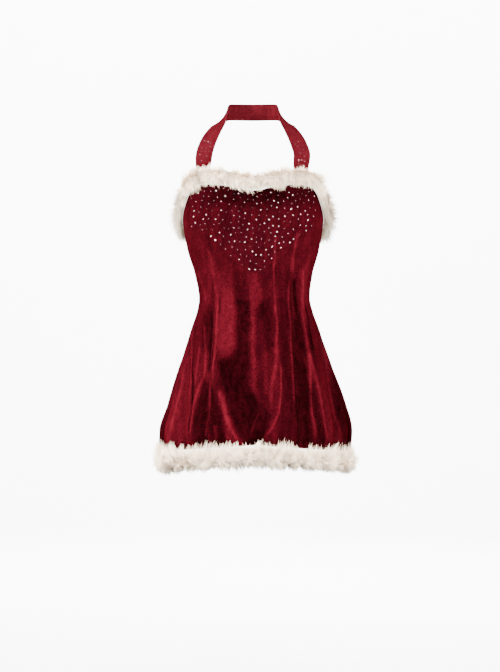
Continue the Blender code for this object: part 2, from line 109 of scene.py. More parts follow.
SeamRow = namedtuple("SeamRow", "drop front_right front_left side back")
SEAMS = (
    SeamRow(0.100, -51, 48, 92, 143),
    SeamRow(0.147, -50, 47, 92, 143),
    SeamRow(0.240, -40, 37, 92, 143),
    SeamRow(0.302, -38, 35, 92, 143),
    SeamRow(0.405, -41, 38.5, 92, 142),
    SeamRow(0.481, -37, 33.5, 92, 145),
    SeamRow(0.558, -34, 28.5, 93, 148),
    SeamRow(0.635, -30.5, 25.5, 94, 150),
    SeamRow(0.765, -29, 24.5, 94, 151),
)
SEAM_NAMES = (
    "front_right", "front_left", "side_right", "side_left",
    "back_right", "back_left", "centre_back_left",
)  # fmt: skip

BUST_RISE, BUST_OUT, BUST_DROP = 0.012, 0.078, 0.236
BUST_WIDE, BUST_TALL = 0.050, 0.055

# Main folds, as in the solids: a ridge has a height above 0 and a trough one below.
PAST_HEM = 0.80
Fold = namedtuple("Fold", "top end top_deg middle_deg end_deg height wide")
FOLDS = (
    Fold(0.330, 0.640, -1, -1, -1, 0.0020, 0.012),
    Fold(0.270, 0.690, 21, 19.5, 10, 0.0036, 0.010),
    Fold(0.540, PAST_HEM, 20, 14, -3, 0.0050, 0.013),
    Fold(0.540, PAST_HEM, -25, -17, -4, 0.0050, 0.013),
    Fold(0.420, PAST_HEM, -55, -47, -35, 0.0045, 0.016),
    Fold(0.400, PAST_HEM, -71, -55, -42, -0.0055, 0.010),
    Fold(0.420, PAST_HEM, -82, -68, -56, 0.0060, 0.024),
    Fold(0.420, PAST_HEM, 48, 37, 31, -0.0040, 0.012),
    Fold(0.390, PAST_HEM, 62, 46, 38, 0.0055, 0.011),
    Fold(0.500, PAST_HEM, 50, 49, 47.5, 0.0050, 0.010),
    Fold(0.430, PAST_HEM, 76, 60, 53, -0.0050, 0.011),
    Fold(0.410, PAST_HEM, 88, 70, 60, 0.0065, 0.014),
    Fold(0.450, PAST_HEM, -94, -84, -74, -0.0065, 0.014),
    Fold(0.440, PAST_HEM, -104, -98, -90, 0.0075, 0.018),
    Fold(0.470, PAST_HEM, -116, -110, -106, -0.0060, 0.014),
    Fold(0.480, PAST_HEM, -128, -123, -121, 0.0070, 0.018),
    Fold(0.520, PAST_HEM, -140, -138, -137, -0.0060, 0.013),
    Fold(0.500, PAST_HEM, -150, -151, -153, 0.0065, 0.017),
    Fold(0.540, PAST_HEM, -162, -166, -168, -0.0055, 0.014),
    Fold(0.450, PAST_HEM, 96, 86, 76, -0.0060, 0.013),
    Fold(0.440, PAST_HEM, 106, 100, 90, 0.0080, 0.017),
    Fold(0.480, PAST_HEM, 118, 113, 105, -0.0065, 0.014),
    Fold(0.460, PAST_HEM, 130, 126, 119, 0.0070, 0.017),
    Fold(0.530, PAST_HEM, 142, 140, 134, -0.0055, 0.013),
    Fold(0.500, PAST_HEM, 152, 153, 149, 0.0075, 0.018),
    Fold(0.540, PAST_HEM, 164, 166, 164, -0.0060, 0.013),
    Fold(0.530, PAST_HEM, 174, 177, 178, 0.0060, 0.016),
)

# Creases, finer than the solids have: straight strokes on the cloth that fade at both ends.
Crease = namedtuple("Crease", "start_deg start_drop end_deg end_drop height wide")
CREASES = (
    # Bust and ribs.
    Crease(-12, 0.300, -11, 0.400, 0.0008, 0.0050),
    Crease(10, 0.290, 12, 0.370, 0.0007, 0.0045),
    Crease(33, 0.300, 40, 0.372, 0.0011, 0.0040),
    # Drags that run slanting into the waist and from the bust.
    Crease(-88, 0.330, -60, 0.372, 0.0011, 0.0050),
    Crease(-92, 0.372, -64, 0.392, -0.0010, 0.0045),
    Crease(-90, 0.432, -66, 0.410, 0.0010, 0.0045),
    Crease(86, 0.326, 60, 0.366, 0.0011, 0.0050),
    Crease(92, 0.380, 66, 0.394, -0.0010, 0.0045),
    Crease(92, 0.436, 68, 0.412, 0.0010, 0.0045),
    Crease(-78, 0.232, -58, 0.262, 0.0011, 0.0060),
    Crease(76, 0.230, 57, 0.264, 0.0011, 0.0060),
    # Back.
    Crease(-150, 0.345, -126, 0.380, 0.0012, 0.0055),
    Crease(-168, 0.372, -138, 0.398, -0.0012, 0.0050),
    Crease(-172, 0.420, -146, 0.408, 0.0012, 0.0050),
    Crease(152, 0.350, 124, 0.384, 0.0012, 0.0055),
    Crease(170, 0.380, 140, 0.400, -0.0012, 0.0050),
    Crease(174, 0.428, 148, 0.410, 0.0012, 0.0050),
    Crease(-132, 0.420, -136, 0.560, 0.0014, 0.0055),
    Crease(-156, 0.430, -158, 0.600, -0.0014, 0.0055),
    Crease(-173, 0.470, -174, 0.650, 0.0014, 0.0055),
    Crease(134, 0.430, 136, 0.570, 0.0014, 0.0055),
    Crease(158, 0.440, 160, 0.600, -0.0014, 0.0055),
    Crease(-112, 0.420, -104, 0.560, 0.0013, 0.0055),
    Crease(112, 0.430, 108, 0.570, 0.0013, 0.0055),
)

# Creases and lit and shaded areas of the front, brushed nap and painted light and shade together, traced
# where the camera sees them: each x and y is a pixel of its picture, and the script finds the cloth there.
Stroke = namedtuple("Stroke", "height wide x y")
STROKES = (
    # Right front seam's ridge, with its hollow, and the line that runs on below it.
    Stroke(0.0009, 0.0036, x=(213, 216, 217, 216), y=(266, 290, 318, 342)),
    Stroke(0.0012, 0.0032, x=(216, 215, 213, 212), y=(336, 352, 366, 381)),
    Stroke(0.0010, 0.0026, x=(212, 210, 210, 208, 205), y=(376, 392, 408, 424, 441)),
    Stroke(-0.0012, 0.0024, x=(211, 212, 210, 209), y=(308, 328, 350, 376)),
    Stroke(-0.0010, 0.0022, x=(219, 219), y=(296, 316)),
    # Right side: the long dark line, the ridges by it and the drag that crosses to it.
    Stroke(-0.0015, 0.0022, x=(194, 193, 192, 189), y=(344, 380, 408, 441)),
    Stroke(0.0012, 0.0026, x=(194, 192, 191, 188), y=(326, 356, 384, 404)),
    Stroke(0.0011, 0.0024, x=(200, 198, 195), y=(344, 362, 386)),
    Stroke(0.0014, 0.0026, x=(207, 204, 198, 193, 191), y=(358, 376, 390, 406, 438)),
    Stroke(0.0011, 0.0026, x=(205, 206, 205), y=(322, 350, 372)),
    Stroke(0.0010, 0.0030, x=(186, 182, 175, 171), y=(362, 384, 412, 438)),
    Stroke(0.0008, 0.0028, x=(197, 202, 206), y=(268, 284, 302)),
    # Ridges that run from the dark middle down into the hem's fur.
    Stroke(0.0012, 0.0054, x=(219, 222, 226, 229), y=(388, 402, 416, 426)),
    Stroke(0.0013, 0.0034, x=(226, 230, 236, 239), y=(416, 427, 437, 442)),
    Stroke(0.0010, 0.0036, x=(214, 216, 216), y=(424, 433, 443)),
    Stroke(0.0009, 0.0020, x=(260, 254, 249), y=(411, 423, 440)),
    # Middle of the front.
    Stroke(0.0008, 0.0042, x=(251, 253, 253, 254, 255), y=(306, 320, 345, 372, 398)),
    Stroke(0.0006, 0.0050, x=(262, 264, 266, 266), y=(316, 345, 376, 402)),
    # Folds that run down from the bust.
    Stroke(0.0008, 0.0028, x=(276, 275, 275), y=(234, 250, 268)),
    Stroke(0.0011, 0.0034, x=(300, 296, 293, 291), y=(228, 240, 256, 274)),
    Stroke(0.0007, 0.0034, x=(209, 212, 214), y=(250, 262, 276)),
    # Ridge left of the middle and its two branches.
    Stroke(0.0011, 0.0024, x=(274, 274, 275, 276), y=(256, 282, 300, 316)),
    Stroke(0.0012, 0.0024, x=(275, 277, 277, 276), y=(304, 320, 334, 346)),
    Stroke(0.0013, 0.0034, x=(276, 277, 275, 272, 271, 271), y=(340, 356, 370, 384, 398, 410)),
    Stroke(0.0014, 0.0024, x=(280, 281, 281, 279, 272, 262), y=(360, 372, 392, 412, 428, 441)),
    # Left front seam.
    Stroke(0.0011, 0.0022, x=(290, 290, 291, 293, 294), y=(278, 316, 346, 376, 414)),
    Stroke(-0.0013, 0.0040, x=(294, 295, 297, 300), y=(276, 296, 310, 322)),
    # Left side: the ridge from the waist, the blob on it, and the lines that part from it.
    Stroke(0.0013, 0.0048, x=(303, 303, 304), y=(268, 290, 312)),
    Stroke(0.0014, 0.0030, x=(301, 304, 306, 307), y=(308, 324, 338, 350)),
    Stroke(0.0015, 0.0026, x=(307, 310, 310, 312, 316), y=(344, 368, 392, 414, 442)),
    Stroke(0.0008, 0.0032, x=(310, 310), y=(366, 386)),
    Stroke(0.0008, 0.0020, x=(301, 306, 309), y=(346, 364, 382)),
    Stroke(0.0013, 0.0024, x=(308, 312, 317, 321, 324, 328), y=(344, 363, 382, 402, 422, 446)),
    Stroke(-0.0013, 0.0028, x=(305, 308, 310, 314), y=(300, 317, 334, 354)),
    Stroke(0.0010, 0.0028, x=(322, 327, 330, 334, 341), y=(342, 372, 394, 414, 443)),
    Stroke(0.0009, 0.0040, x=(311, 316, 322), y=(300, 322, 340)),
)
# How light an area makes the nap, and how far it takes to fade at its edge. The areas hold brushed nap and
# painted light and shade together: painted highlights on ridges, painted shade in hollows and towards the
# skirt's edges.
Area = namedtuple("Area", "light edge x y")
AREAS = (
    # Light on the bust's sides and under the stones.
    Area(0.07, 0.018, x=(304, 317, 317, 309, 303, 300), y=(204, 204, 240, 276, 284, 240)),
    Area(0.04, 0.018, x=(186, 196, 204, 204, 196), y=(206, 204, 240, 284, 276)),
    Area(0.05, 0.024, x=(268, 300, 296, 276), y=(216, 214, 262, 266)),
    # Light beside the right front seam, with a sharp side to the middle and a torn lower end.
    Area(0.07, 0.010, x=(213, 222, 232, 234, 235, 236, 232, 229, 221, 217, 215, 214),
         y=(274, 270, 272, 300, 330, 344, 350, 356, 357, 348, 324, 300)),
    Area(0.08, 0.008, x=(214, 222, 232, 235, 235, 236, 231, 228, 221, 217, 215, 214),
         y=(286, 281, 283, 300, 330, 342, 350, 354, 355, 346, 324, 300)),
    Area(0.08, 0.006, x=(221, 226, 234, 235, 235, 230, 227, 221, 219, 220),
         y=(300, 292, 290, 300, 340, 348, 350, 348, 330, 314)),
    Area(0.10, 0.020, x=(198, 212, 212, 210, 206, 202), y=(262, 262, 296, 304, 312, 296)),
    # Light low on the right side.
    Area(0.09, 0.018, x=(187, 191, 191, 188, 170, 166, 172, 180), y=(380, 394, 420, 444, 442, 424, 404, 386)),
    Area(0.10, 0.014, x=(186, 193, 192, 186, 180, 182), y=(346, 346, 384, 384, 378, 362)),
    # Light at the middle of the waist.
    Area(0.19, 0.009, x=(246, 256, 261, 262, 257, 250, 249, 247), y=(272, 272, 288, 300, 307, 310, 298, 284)),
    # Light on the left of the waist, and low on the left side.
    Area(0.13, 0.012, x=(299, 308, 308, 306, 302, 298), y=(270, 262, 298, 322, 314, 296)),
    Area(0.04, 0.014, x=(320, 330, 334, 341, 328, 322), y=(392, 392, 414, 444, 446, 414)),
    Area(0.07, 0.016, x=(318, 326, 331, 330, 324), y=(340, 350, 376, 392, 376)),
    # Dark: the middle of the skirt, under the light area and down to the hem's fur.
    Area(-0.28, 0.010, x=(237, 250, 250, 256, 266, 271, 266, 258, 244, 236, 229, 225, 222, 218, 230, 237),
         y=(300, 302, 386, 398, 408, 418, 432, 444, 444, 428, 412, 396, 378, 362, 356, 346)),
    Area(-0.22, 0.014, x=(260, 270, 273, 274, 270, 259, 257, 257),
         y=(303, 298, 312, 344, 352, 350, 332, 312)),
    Area(-0.12, 0.022, x=(257, 272, 270, 267, 258), y=(350, 352, 378, 404, 398)),
    Area(-0.15, 0.014, x=(235, 248, 247, 236), y=(272, 272, 303, 303)),
    Area(-0.06, 0.030, x=(262, 290, 290, 262), y=(250, 250, 300, 300)),
    # Dark: on both sides of the left front seam.
    Area(-0.17, 0.020, x=(279, 289, 290, 292, 294, 280, 270, 279, 281, 279),
         y=(300, 300, 340, 376, 444, 444, 444, 414, 380, 340)),
    Area(-0.24, 0.012, x=(293, 300, 304, 306, 309, 309, 313, 298, 295, 294),
         y=(320, 318, 336, 352, 382, 420, 444, 444, 404, 360)),
    # Painted shade: between the lines of the left side, and round to its edge.
    Area(-0.26, 0.010, x=(312, 316, 320, 325, 317, 313, 311), y=(382, 390, 415, 446, 444, 415, 395)),
    Area(-0.18, 0.018, x=(309, 314, 320, 318, 312), y=(330, 346, 372, 384, 366)),
    Area(-0.30, 0.018, x=(332, 338, 345, 351, 351, 343, 338, 334),
         y=(376, 372, 388, 412, 444, 446, 424, 400)),
    Area(-0.32, 0.055, x=(342, 346, 354, 354, 347, 344), y=(384, 390, 418, 446, 446, 410)),
    # Dark: right of the right front seam, and by the drag under it.
    Area(-0.14, 0.016, x=(208, 212, 212, 209, 200, 202), y=(304, 312, 344, 352, 344, 322)),
    Area(-0.28, 0.010, x=(205, 209, 209, 206, 192, 194, 199), y=(380, 384, 410, 444, 444, 416, 396)),
    Area(-0.26, 0.012, x=(212, 218, 222, 228, 214, 208), y=(386, 396, 414, 444, 444, 420)),
    Area(-0.10, 0.030, x=(214, 222, 230, 228, 220, 213), y=(358, 360, 362, 384, 392, 384)),
)
STROKE_FADE = 0.14  # share of a stroke over which it fades at each end

# Short creases at the hem and at the top edge: their number, lengths, height and width.
PUCKER_SEED = 5
PUCKER_SHIFT, PUCKER_LEAN = 0.35, 1.2  # how far one stands off its even place, and leans in degrees, at most
PUCKER_HEIGHTS, PUCKER_WIDTHS = (0.3, 1.0), (0.8, 1.3)  # least and most, as shares of the row's own
PUCKER_LONGER = 1.3  # how much longer one is drawn than its length, because its ends fade
Puckers = namedtuple("Puckers", "edge count shortest longest height wide")
PUCKERS = (
    Puckers("hem", 84, 0.030, 0.085, 0.0013, 0.0042),
    Puckers("top", 52, 0.024, 0.060, 0.0008, 0.0038),
)

# Painted highlight and shade: how much lighter the nap is for a metre of a fold's or a crease's height, and
# as much darker for a trough's depth.
FOLD_PAINTED_LIGHT, CREASE_PAINTED_LIGHT, STROKE_PAINTED_LIGHT = 13.0, 150.0, 270.0

# Painted shade: how much darker the nap is along a seam, and how light it is on the turned-in cloth, both
# painted shade; and how light the nap is on the strap.
SEAM_PAINTED_SHADE, TURNED_PAINTED_SHADE, STRAP_NAP = 0.12, -0.40, 0.12

# Nap of the velvet: brushed patches, and painted shade low on the skirt's sides, as angle, drop, size round
# the body, size up it and lightness.
Patch = namedtuple("Patch", "degrees drop wide tall light")
PATCHES = (
    # Front and sides.
    Patch(-56, 0.640, 0.030, 0.080, 0.06),
    Patch(20, 0.330, 0.014, 0.040, 0.08),
    Patch(50, 0.330, 0.020, 0.060, 0.08),
    Patch(0, 0.192, 0.095, 0.024, -0.34),
    Patch(0, 0.262, 0.100, 0.046, -0.10),
    Patch(-62, 0.345, 0.034, 0.060, -0.12),
    Patch(0, 0.335, 0.060, 0.030, -0.08),
    # Painted shade low on both sides of the skirt, where it turns away from the light.
    Patch(-88, 0.705, 0.030, 0.045, -0.30),
    Patch(86, 0.660, 0.055, 0.120, -0.12),
    # Back.
    Patch(150, 0.420, 0.030, 0.070, 0.22),
    Patch(-150, 0.480, 0.026, 0.080, 0.22),
    Patch(172, 0.620, 0.030, 0.080, -0.20),
    Patch(-168, 0.560, 0.024, 0.080, -0.18),
    Patch(-112, 0.560, 0.024, 0.090, 0.16),
    Patch(118, 0.520, 0.024, 0.090, 0.16),
    Patch(140, 0.640, 0.030, 0.070, -0.16),
    Patch(-138, 0.660, 0.030, 0.070, -0.16),
)

# The panels, with how finely each is drawn and what it was cut to: width, length and flat area.
Cut = namedtuple("Cut", "name start end columns wide long area")
CUTS = (
    Cut("centre_back_right", "centre_back_right", "back_right", 36, 0.112, 0.520, 0.040),
    Cut("side_back_right", "back_right", "side_right", 40, 0.160, 0.540, 0.060),
    Cut("side_front_right", "side_right", "front_right", 86, 0.200, 0.620, 0.080),
    Cut("centre_front", "front_right", "front_left", 124, 0.235, 0.620, 0.110),
    Cut("side_front_left", "front_left", "side_left", 86, 0.200, 0.620, 0.080),
    Cut("side_back_left", "side_left", "back_left", 40, 0.160, 0.540, 0.060),
    Cut("centre_back_left", "back_left", "centre_back_left", 36, 0.112, 0.520, 0.040),
)
PANEL_ROWS = 220
SEAM_ALLOWANCE = 0.006  # cloth turned in along each seam
SEAM_SHUT = 0.93  # how much of the gap at a seam the turned-in cloth closes behind it
TURNED_SHARES = (1.0, 0.4)  # points on the turned-in cloth, as shares of the way to its raw edge

# Halter strap, as in the solids: its foot covers STRAP_COLUMNS of the columns that the solid panels have
# on each side of the front seam.
SOLID_COLUMNS = {"centre_front": 18, "side_front_right": 15, "side_front_left": 15}
STRAP_COLUMNS = 2
STRAP_WIDE = 0.036
STRAP_CROWN = 0.0009  # how much the strap curves over its width
STRAP_ON_CLOTH = 0.016  # how far its end lies on the panels
STRAP_ROWS, STRAP_ACROSS = 130, 16  # how finely it is drawn
STRAP_SHARP_DEG = 50  # its edges stay sharp where two faces meet at more than this
MERGE_WITHIN = 1e-6  # points of the strap nearer than this become one
Station = namedtuple("Station", "x y z wide_x wide_y wide_z")
STRAP = (
    Station(0.1030, -0.1150, -0.1050, 0.96, 0.20, 0.00),
    Station(0.0970, -0.1100, -0.0830, 0.92, 0.30, 0.10),
    Station(0.0875, -0.1020, -0.0620, 0.84, 0.48, 0.15),
    Station(0.0760, -0.0900, -0.0420, 0.66, 0.70, 0.15),
    Station(0.0660, -0.0720, -0.0250, 0.45, 0.80, -0.20),
    Station(0.0590, -0.0570, -0.0140, 0.26, 0.66, -0.60),
    Station(0.0545, -0.0430, -0.0070, 0.14, 0.48, -0.84),
    Station(0.0490, -0.0260, -0.0030, 0.12, 0.44, -0.89),
    Station(0.0390, -0.0120, -0.0010, 0.10, 0.40, -0.91),
    Station(0.0220, -0.0030, 0.0000, 0.06, 0.36, -0.93),
    Station(0.0000, 0.0000, 0.0000, 0.00, 0.34, -0.94),
)

# Fur: the core under the pile as out and up from the cloth's edge, with the way that the pile is combed
# there, up or down, and how long it is. No pile grows where a core lies on the cloth.
FurPoint = namedtuple("FurPoint", "out up comb reach")
TOP_CORE = (
    FurPoint(0.0006, -0.0250, -1.0, 0.00),
    FurPoint(0.0006, -0.0004, 0.6, 0.00),
    FurPoint(0.0030, -0.0014, 0.5, 0.00),
    FurPoint(0.0075, -0.0026, 0.5, 0.30),
    FurPoint(0.0120, -0.0048, 0.4, 0.85),
    FurPoint(0.0150, -0.0088, -0.2, 1.00),
    FurPoint(0.0150, -0.0160, -0.6, 1.05),
    FurPoint(0.0110, -0.0225, -0.9, 1.05),
    FurPoint(0.0050, -0.0260, -1.1, 1.00),
)
HEM_CORE = (
    FurPoint(0.0006, 0.0225, 0.8, 0.00),
    FurPoint(0.0006, -0.0003, -1.0, 0.00),
    FurPoint(-0.0026, -0.0006, -1.0, 0.20),
    FurPoint(-0.0020, -0.0035, -0.9, 0.45),
    FurPoint(0.0030, -0.0050, -0.7, 0.70),
    FurPoint(0.0075, -0.0030, -0.3, 0.90),
    FurPoint(0.0100, 0.0040, 0.1, 0.90),
    FurPoint(0.0098, 0.0110, 0.4, 1.05),
    FurPoint(0.0074, 0.0162, 0.8, 1.15),
    FurPoint(0.0036, 0.0192, 1.1, 1.35),
)
# How far the hem's fur stands higher than its profile says, where its tufts are taller.
Rise = namedtuple("Rise", "degrees rise")
HEM_RISES = (
    Rise(-180, 0.0020), Rise(-130, 0.0000), Rise(-100, 0.0040), Rise(-80, 0.0150), Rise(-66, 0.0130),
    Rise(-54, 0.0030), Rise(-46, -0.0030), Rise(-34, -0.0040), Rise(-20, -0.0020), Rise(-8, 0.0010),
    Rise(4, 0.0010), Rise(14, -0.0010), Rise(26, -0.0035), Rise(36, -0.0025), Rise(48, 0.0015),
    Rise(58, 0.0010), Rise(70, 0.0000), Rise(84, 0.0030), Rise(110, 0.0000), Rise(180, 0.0020),
)  # fmt: skip
# Over a short stretch of the neckline, in degrees, the lower edge of the core stands higher.
PART_DEG = (-4.0, 14.0)
PART_FADE = 4.0  # degrees over which it rises at each end
PART_RISE = 0.0086
FUR_FULL = 0.0140  # how far out the core is at its fullest, where it follows the folds the least
FUR_EVENS = 0.5  # how much of the folds' height the full core evens out
FUR_END_DEG = 179.75  # where the neckline's fur ends at the zip, on both sides
FUR_STEPS = 3  # steps that are drawn from each point of a core's outline to the next
# A core's point that is nearer to the cloth than the first and farther from its edge than the second is
# laid along the band.
LIES_WITHIN, LIES_BEYOND = 0.001, 0.002

# Stretches of a core's height over which it rises, or its pile darkens or lightens with painted shade and
# painted light, counted up or down the trim as their names say, and the degrees round the body over which the
# neckline's pile darkens with painted shade to its sides.
Span = namedtuple("Span", "start over")
HEM_UP_RISES = Span(0.008, 0.014)
HEM_DOWN_DARKENS = Span(-0.008, 0.014)
NECK_DOWN_RISES = Span(0.012, 0.012)
NECK_DOWN_DARKENS = Span(0.018, 0.014)
NECK_UP_LIGHTENS = Span(-0.008, 0.006)
NECK_SIDE_DARKENS = Span(56, 24)
# Painted shade and painted light of the pile: darker on its lower side and at the body's sides, lighter along
# the neckline's top.
LOW_SHADE, SIDE_SHADE = 0.90, 0.44  # how much darker the pile is on its lower side, and at the body's sides
NECK_LOW = 0.4  # how much of the lower side's shade the neckline's pile has
HIGH_LIGHT = 0.35  # how much lighter the neckline's pile is along its top
# Painted shade between the hairs: the core takes the colour that a hair has at this share of its length.
CORE_TIP = 0.75  # how light the core is between the hairs, as at this share of a hair's length

# One lock of hairs, a unit long and wide: height, width and bend of its rings, and how light it is there, as
# painted shade that darkens it towards its root.
LockRing = namedtuple("LockRing", "height wide bend tip")
LOCK = (
    LockRing(0.00, 1.00, 0.00, 0.15),
    LockRing(0.38, 0.85, 0.05, 0.48),
    LockRing(0.72, 0.50, 0.18, 0.80),
    LockRing(1.00, 0.04, 0.36, 1.00),
)
GROWS_FROM = 0.40  # no lock grows where the core's reach is less
LEAST_OUT = 0.12  # how far a lock leans away from the cloth at least
OWN_LEAN = 0.28  # how far a lock leans on its own at most
LOCK_LENGTHS, LOCK_WIDTHS = (0.50, 1.30), (0.6, 1.8)  # least and most, as shares of the look's own
WIDTH_SEED = 7.0  # added to the seed for the widths
TUFTS, TUFT_DETAIL = 48.0, 2.0  # how fine the tufts are
TUFT_LENGTH, TUFT_BASE = 2.4, -0.2  # length of a lock as its tuft's noise times the first plus the second
# Painted shade that differs at random from clump to clump of locks.
CLUMPS, CLUMP_SHADE = 150.0, 1.4  # how fine the clumps of locks are, and how much they differ in shade
MEAN_SHADE = 0.88  # of the clumps

# The two trims, with how finely each is drawn round the body and in how many stretches.
Trim = namedtuple("Trim", "pile backing node core edge band columns parts")
TOP_TRIM = Trim("neckline_pile", "neckline_backing", "neckline_fur", TOP_CORE, TOP_EDGE, TOP_BAND, 240, 2)
HEM_TRIM = Trim("hem_pile", "hem_backing", "hem_fur", HEM_CORE, HEM_EDGE, HEM_BAND, 300, 3)
BACKING_COLUMNS = 6
BACKING_OUT, BACKING_THICK = 0.0011, 0.0005  # its outer face from the cloth, and its thickness

# Rhinestones on the front: the lowest drop that they reach at each distance from the middle.
StoneEdge = namedtuple("StoneEdge", "x lowest")
STONE_EDGE = (
    StoneEdge(-0.1300, 0.258),
    StoneEdge(-0.0990, 0.272),
    StoneEdge(-0.0680, 0.299),
    StoneEdge(-0.0410, 0.326),
    StoneEdge(-0.0170, 0.344),
    StoneEdge(0.0000, 0.353),
    StoneEdge(0.0180, 0.348),
    StoneEdge(0.0410, 0.326),
    StoneEdge(0.0680, 0.301),
    StoneEdge(0.0990, 0.275),
    StoneEdge(0.1300, 0.258),
)
STONES_BELOW_EDGE = 0.027  # from the cloth's top edge down to the first stones
STONES_X, STONES_DROP = (-0.130, 0.130), (0.150, 0.356)  # where stones are tried
STONE_SEED = 21
STONE_TRIES = 9000
STONE_SPREAD = (0.85, 1.35)  # least and most spacing, as shares of the look's own
STONE_SIZES = (0.9, 1.1)  # least and most size, in the same way
LARGE_SHARE = 0.22  # share of the stones that are large
# Painted glints: how bright each stone is painted.
LARGE_GLINTS, SMALL_GLINTS = (0.55, 0.85), (0.0, 0.75)  # how bright they are, least and most
STONE_TURNS = ((-0.10, -0.10, 0.0), (0.10, 0.10, 0.8))  # least and most turn of a stone, in radians
GemRing = namedtuple("GemRing", "radius height turn")
GEM = (GemRing(0.50, 0.00, 0.0), GemRing(0.50, 0.08, 0.0), GemRing(0.27, 0.30, 0.5))
GEM_SIDES = 8
STRAP_STONES, STRAP_STONE_TRIES = 15, 400
STRAP_STONE_SHARES = (0.06, 0.30)  # the stretch of the strap that has stones
STRAP_STONE_MARGIN = 4  # columns of the strap's points at each edge that have none
STRAP_STONE_SPACING = 0.0068
STRAP_LARGE_SHARE, STRAP_LARGE, STRAP_SMALL = 0.15, 0.7, 0.9  # and sizes, as shares of the bust's stones
# Painted glints of the strap's stones, least and most.
STRAP_GLINTS = (0.0, 0.5)

# Patterns on the materials: how fine each is, its detail, its scale up the piece as a share of that
# across it, its roughness and how strongly it shows.
Pattern = namedtuple("Pattern", "scale detail stretch rough strength", defaults=(1.0, 0.5, 1.0))
STREAKS = Pattern(85.0, 3.0, 0.16, 0.50, 0.42)
CLOUDS = Pattern(30.0, 4.0, 0.35, 0.62, 0.26)
SPECKS = Pattern(430.0, 2.0, 0.60, 0.75, 1.15)
TEARS = Pattern(120.0, 4.0, 0.60, 0.80, 2.4)  # how ragged the brushed patches of the nap are
TEAR_BASE = -0.2  # added to them
KNIT_LOOPS = Pattern(900.0, 1.0, 0.40)
KNIT_PATCHES = Pattern(25.0, 3.0, strength=0.5)
PATTERNS = {
    "white_fur": Pattern(70.0, 3.0, strength=0.35),
    "fur_backing": Pattern(1200.0, 1.0),
    # The stones' pattern is painted glint.
    "rhinestone": Pattern(900.0, 1.0, strength=0.3),
    "painted_zip": Pattern(700.0, 3.0),
    "paper": Pattern(0.6, 1.0),
}
# What each material's shader is set to.
FINISHES = {
    "velvet": {
        "Roughness": 0.80, "Sheen Weight": 0.012, "Sheen Roughness": 0.45,
        "Sheen Tint": (1.0, 0.005, 0.03, 1.0), "Specular IOR Level": 0.0,
    },
    "velvet_back": {"Roughness": 0.90, "Specular IOR Level": 0.0},
    "white_fur": {
        "Roughness": 0.85, "Sheen Weight": 0.15, "Sheen Roughness": 0.50, "Specular IOR Level": 0.3,
    },
    "fur_backing": {"Roughness": 0.90},
    "rhinestone": {"Roughness": 0.06, "Metallic": 0.85, "Coat Weight": 0.8, "Coat Roughness": 0.03},
    "painted_zip": {"Roughness": 0.50, "Specular IOR Level": 0.08},
    "paper": {"Roughness": 0.95, "Specular IOR Level": 0.1},
}  # fmt: skip
# Colours of each material, from where its pattern is low to where it is high.
STOPS = {
    "velvet_back": ((0.30, (0.024, 0.0008, 0.0020)), (1.00, (0.060, 0.0030, 0.0055))),
    # The fur's darker colours are painted shade, towards the roots of its hairs.
    "white_fur": ((0.10, (0.26, 0.17, 0.10)), (0.55, (0.74, 0.56, 0.38)), (1.00, (1.00, 0.82, 0.60))),
    "fur_backing": ((0.30, (0.78, 0.76, 0.73)), (0.80, (0.92, 0.91, 0.89))),
    # The stones' colours are painted glints, from dark to near white.
    "rhinestone": ((0.15, (0.10, 0.035, 0.045)), (0.65, (0.42, 0.34, 0.34)), (1.00, (0.95, 0.90, 0.86))),
    "painted_zip": ((0.35, (0.012, 0.0005, 0.0010)), (0.75, (0.026, 0.0012, 0.0022))),
    "paper": ((0.30, (0.90, 0.90, 0.90)), (0.70, (0.93, 0.93, 0.93))),
}
# Shade of the velvet's ground, and the shades at which it is deep, middling and bright.
BASE_SHADE = 0.42
VELVET_STOPS = (0.05, 0.45, 0.95)
# Strength and depth of each material's bump.
RELIEFS = {
    "velvet": (0.35, 0.0009),
    "velvet_back": (0.30, 0.0004),
    "fur_backing": (0.40, 0.0003),
    "painted_zip": (0.15, 0.0001),
}

# Camera and stage.
LENS, SENSOR, CAMERA_REACH = 85.0, 36.0, 50.0
CAMERA_PLACE = (-0.0064, -3.455, -0.486)
PICTURE_WIDE, PICTURE_TALL = 500, 672
PIXELS_PER_METRE_AT_ONE = LENS / SENSOR * PICTURE_TALL
FIRST_DEPTH = -0.18  # a first guess at how deep the cloth lies that a pixel shows
SIGHT_PASSES, HALVINGS = 6, 30
FLOOR_DROP, FLOOR_FLAT = 1.42, 1.5
STAGE_RADIUS, STAGE_CURVE, STAGE_HEIGHT = 6.5, 2.0, 5.0
STAGE_SIDES, CURVE_STEPS = 96, 12
Light = namedtuple("Light", "name place target size power")
MIDDLE = (0.0, -0.07, -0.42)
LIGHTS = (
    Light("key", (-2.9, -2.0, 0.7), MIDDLE, (1.2, 1.8), 620.0),
    Light("fill", (2.6, -2.6, 0.6), MIDDLE, (1.2, 1.8), 260.0),
    Light("front", (0.2, -3.8, 1.5), MIDDLE, (1.4, 1.0), 210.0),
    Light("back", (0.4, 3.0, 1.0), MIDDLE, (1.6, 1.4), 320.0),
    Light("wall_back", (0.0, 2.4, 3.4), (0.0, 6.4, -0.2), (4.0, 1.0), 1900.0),
    Light("wall_front", (0.0, -2.4, 3.4), (0.0, -6.4, -0.2), (4.0, 1.0), 420.0),
)


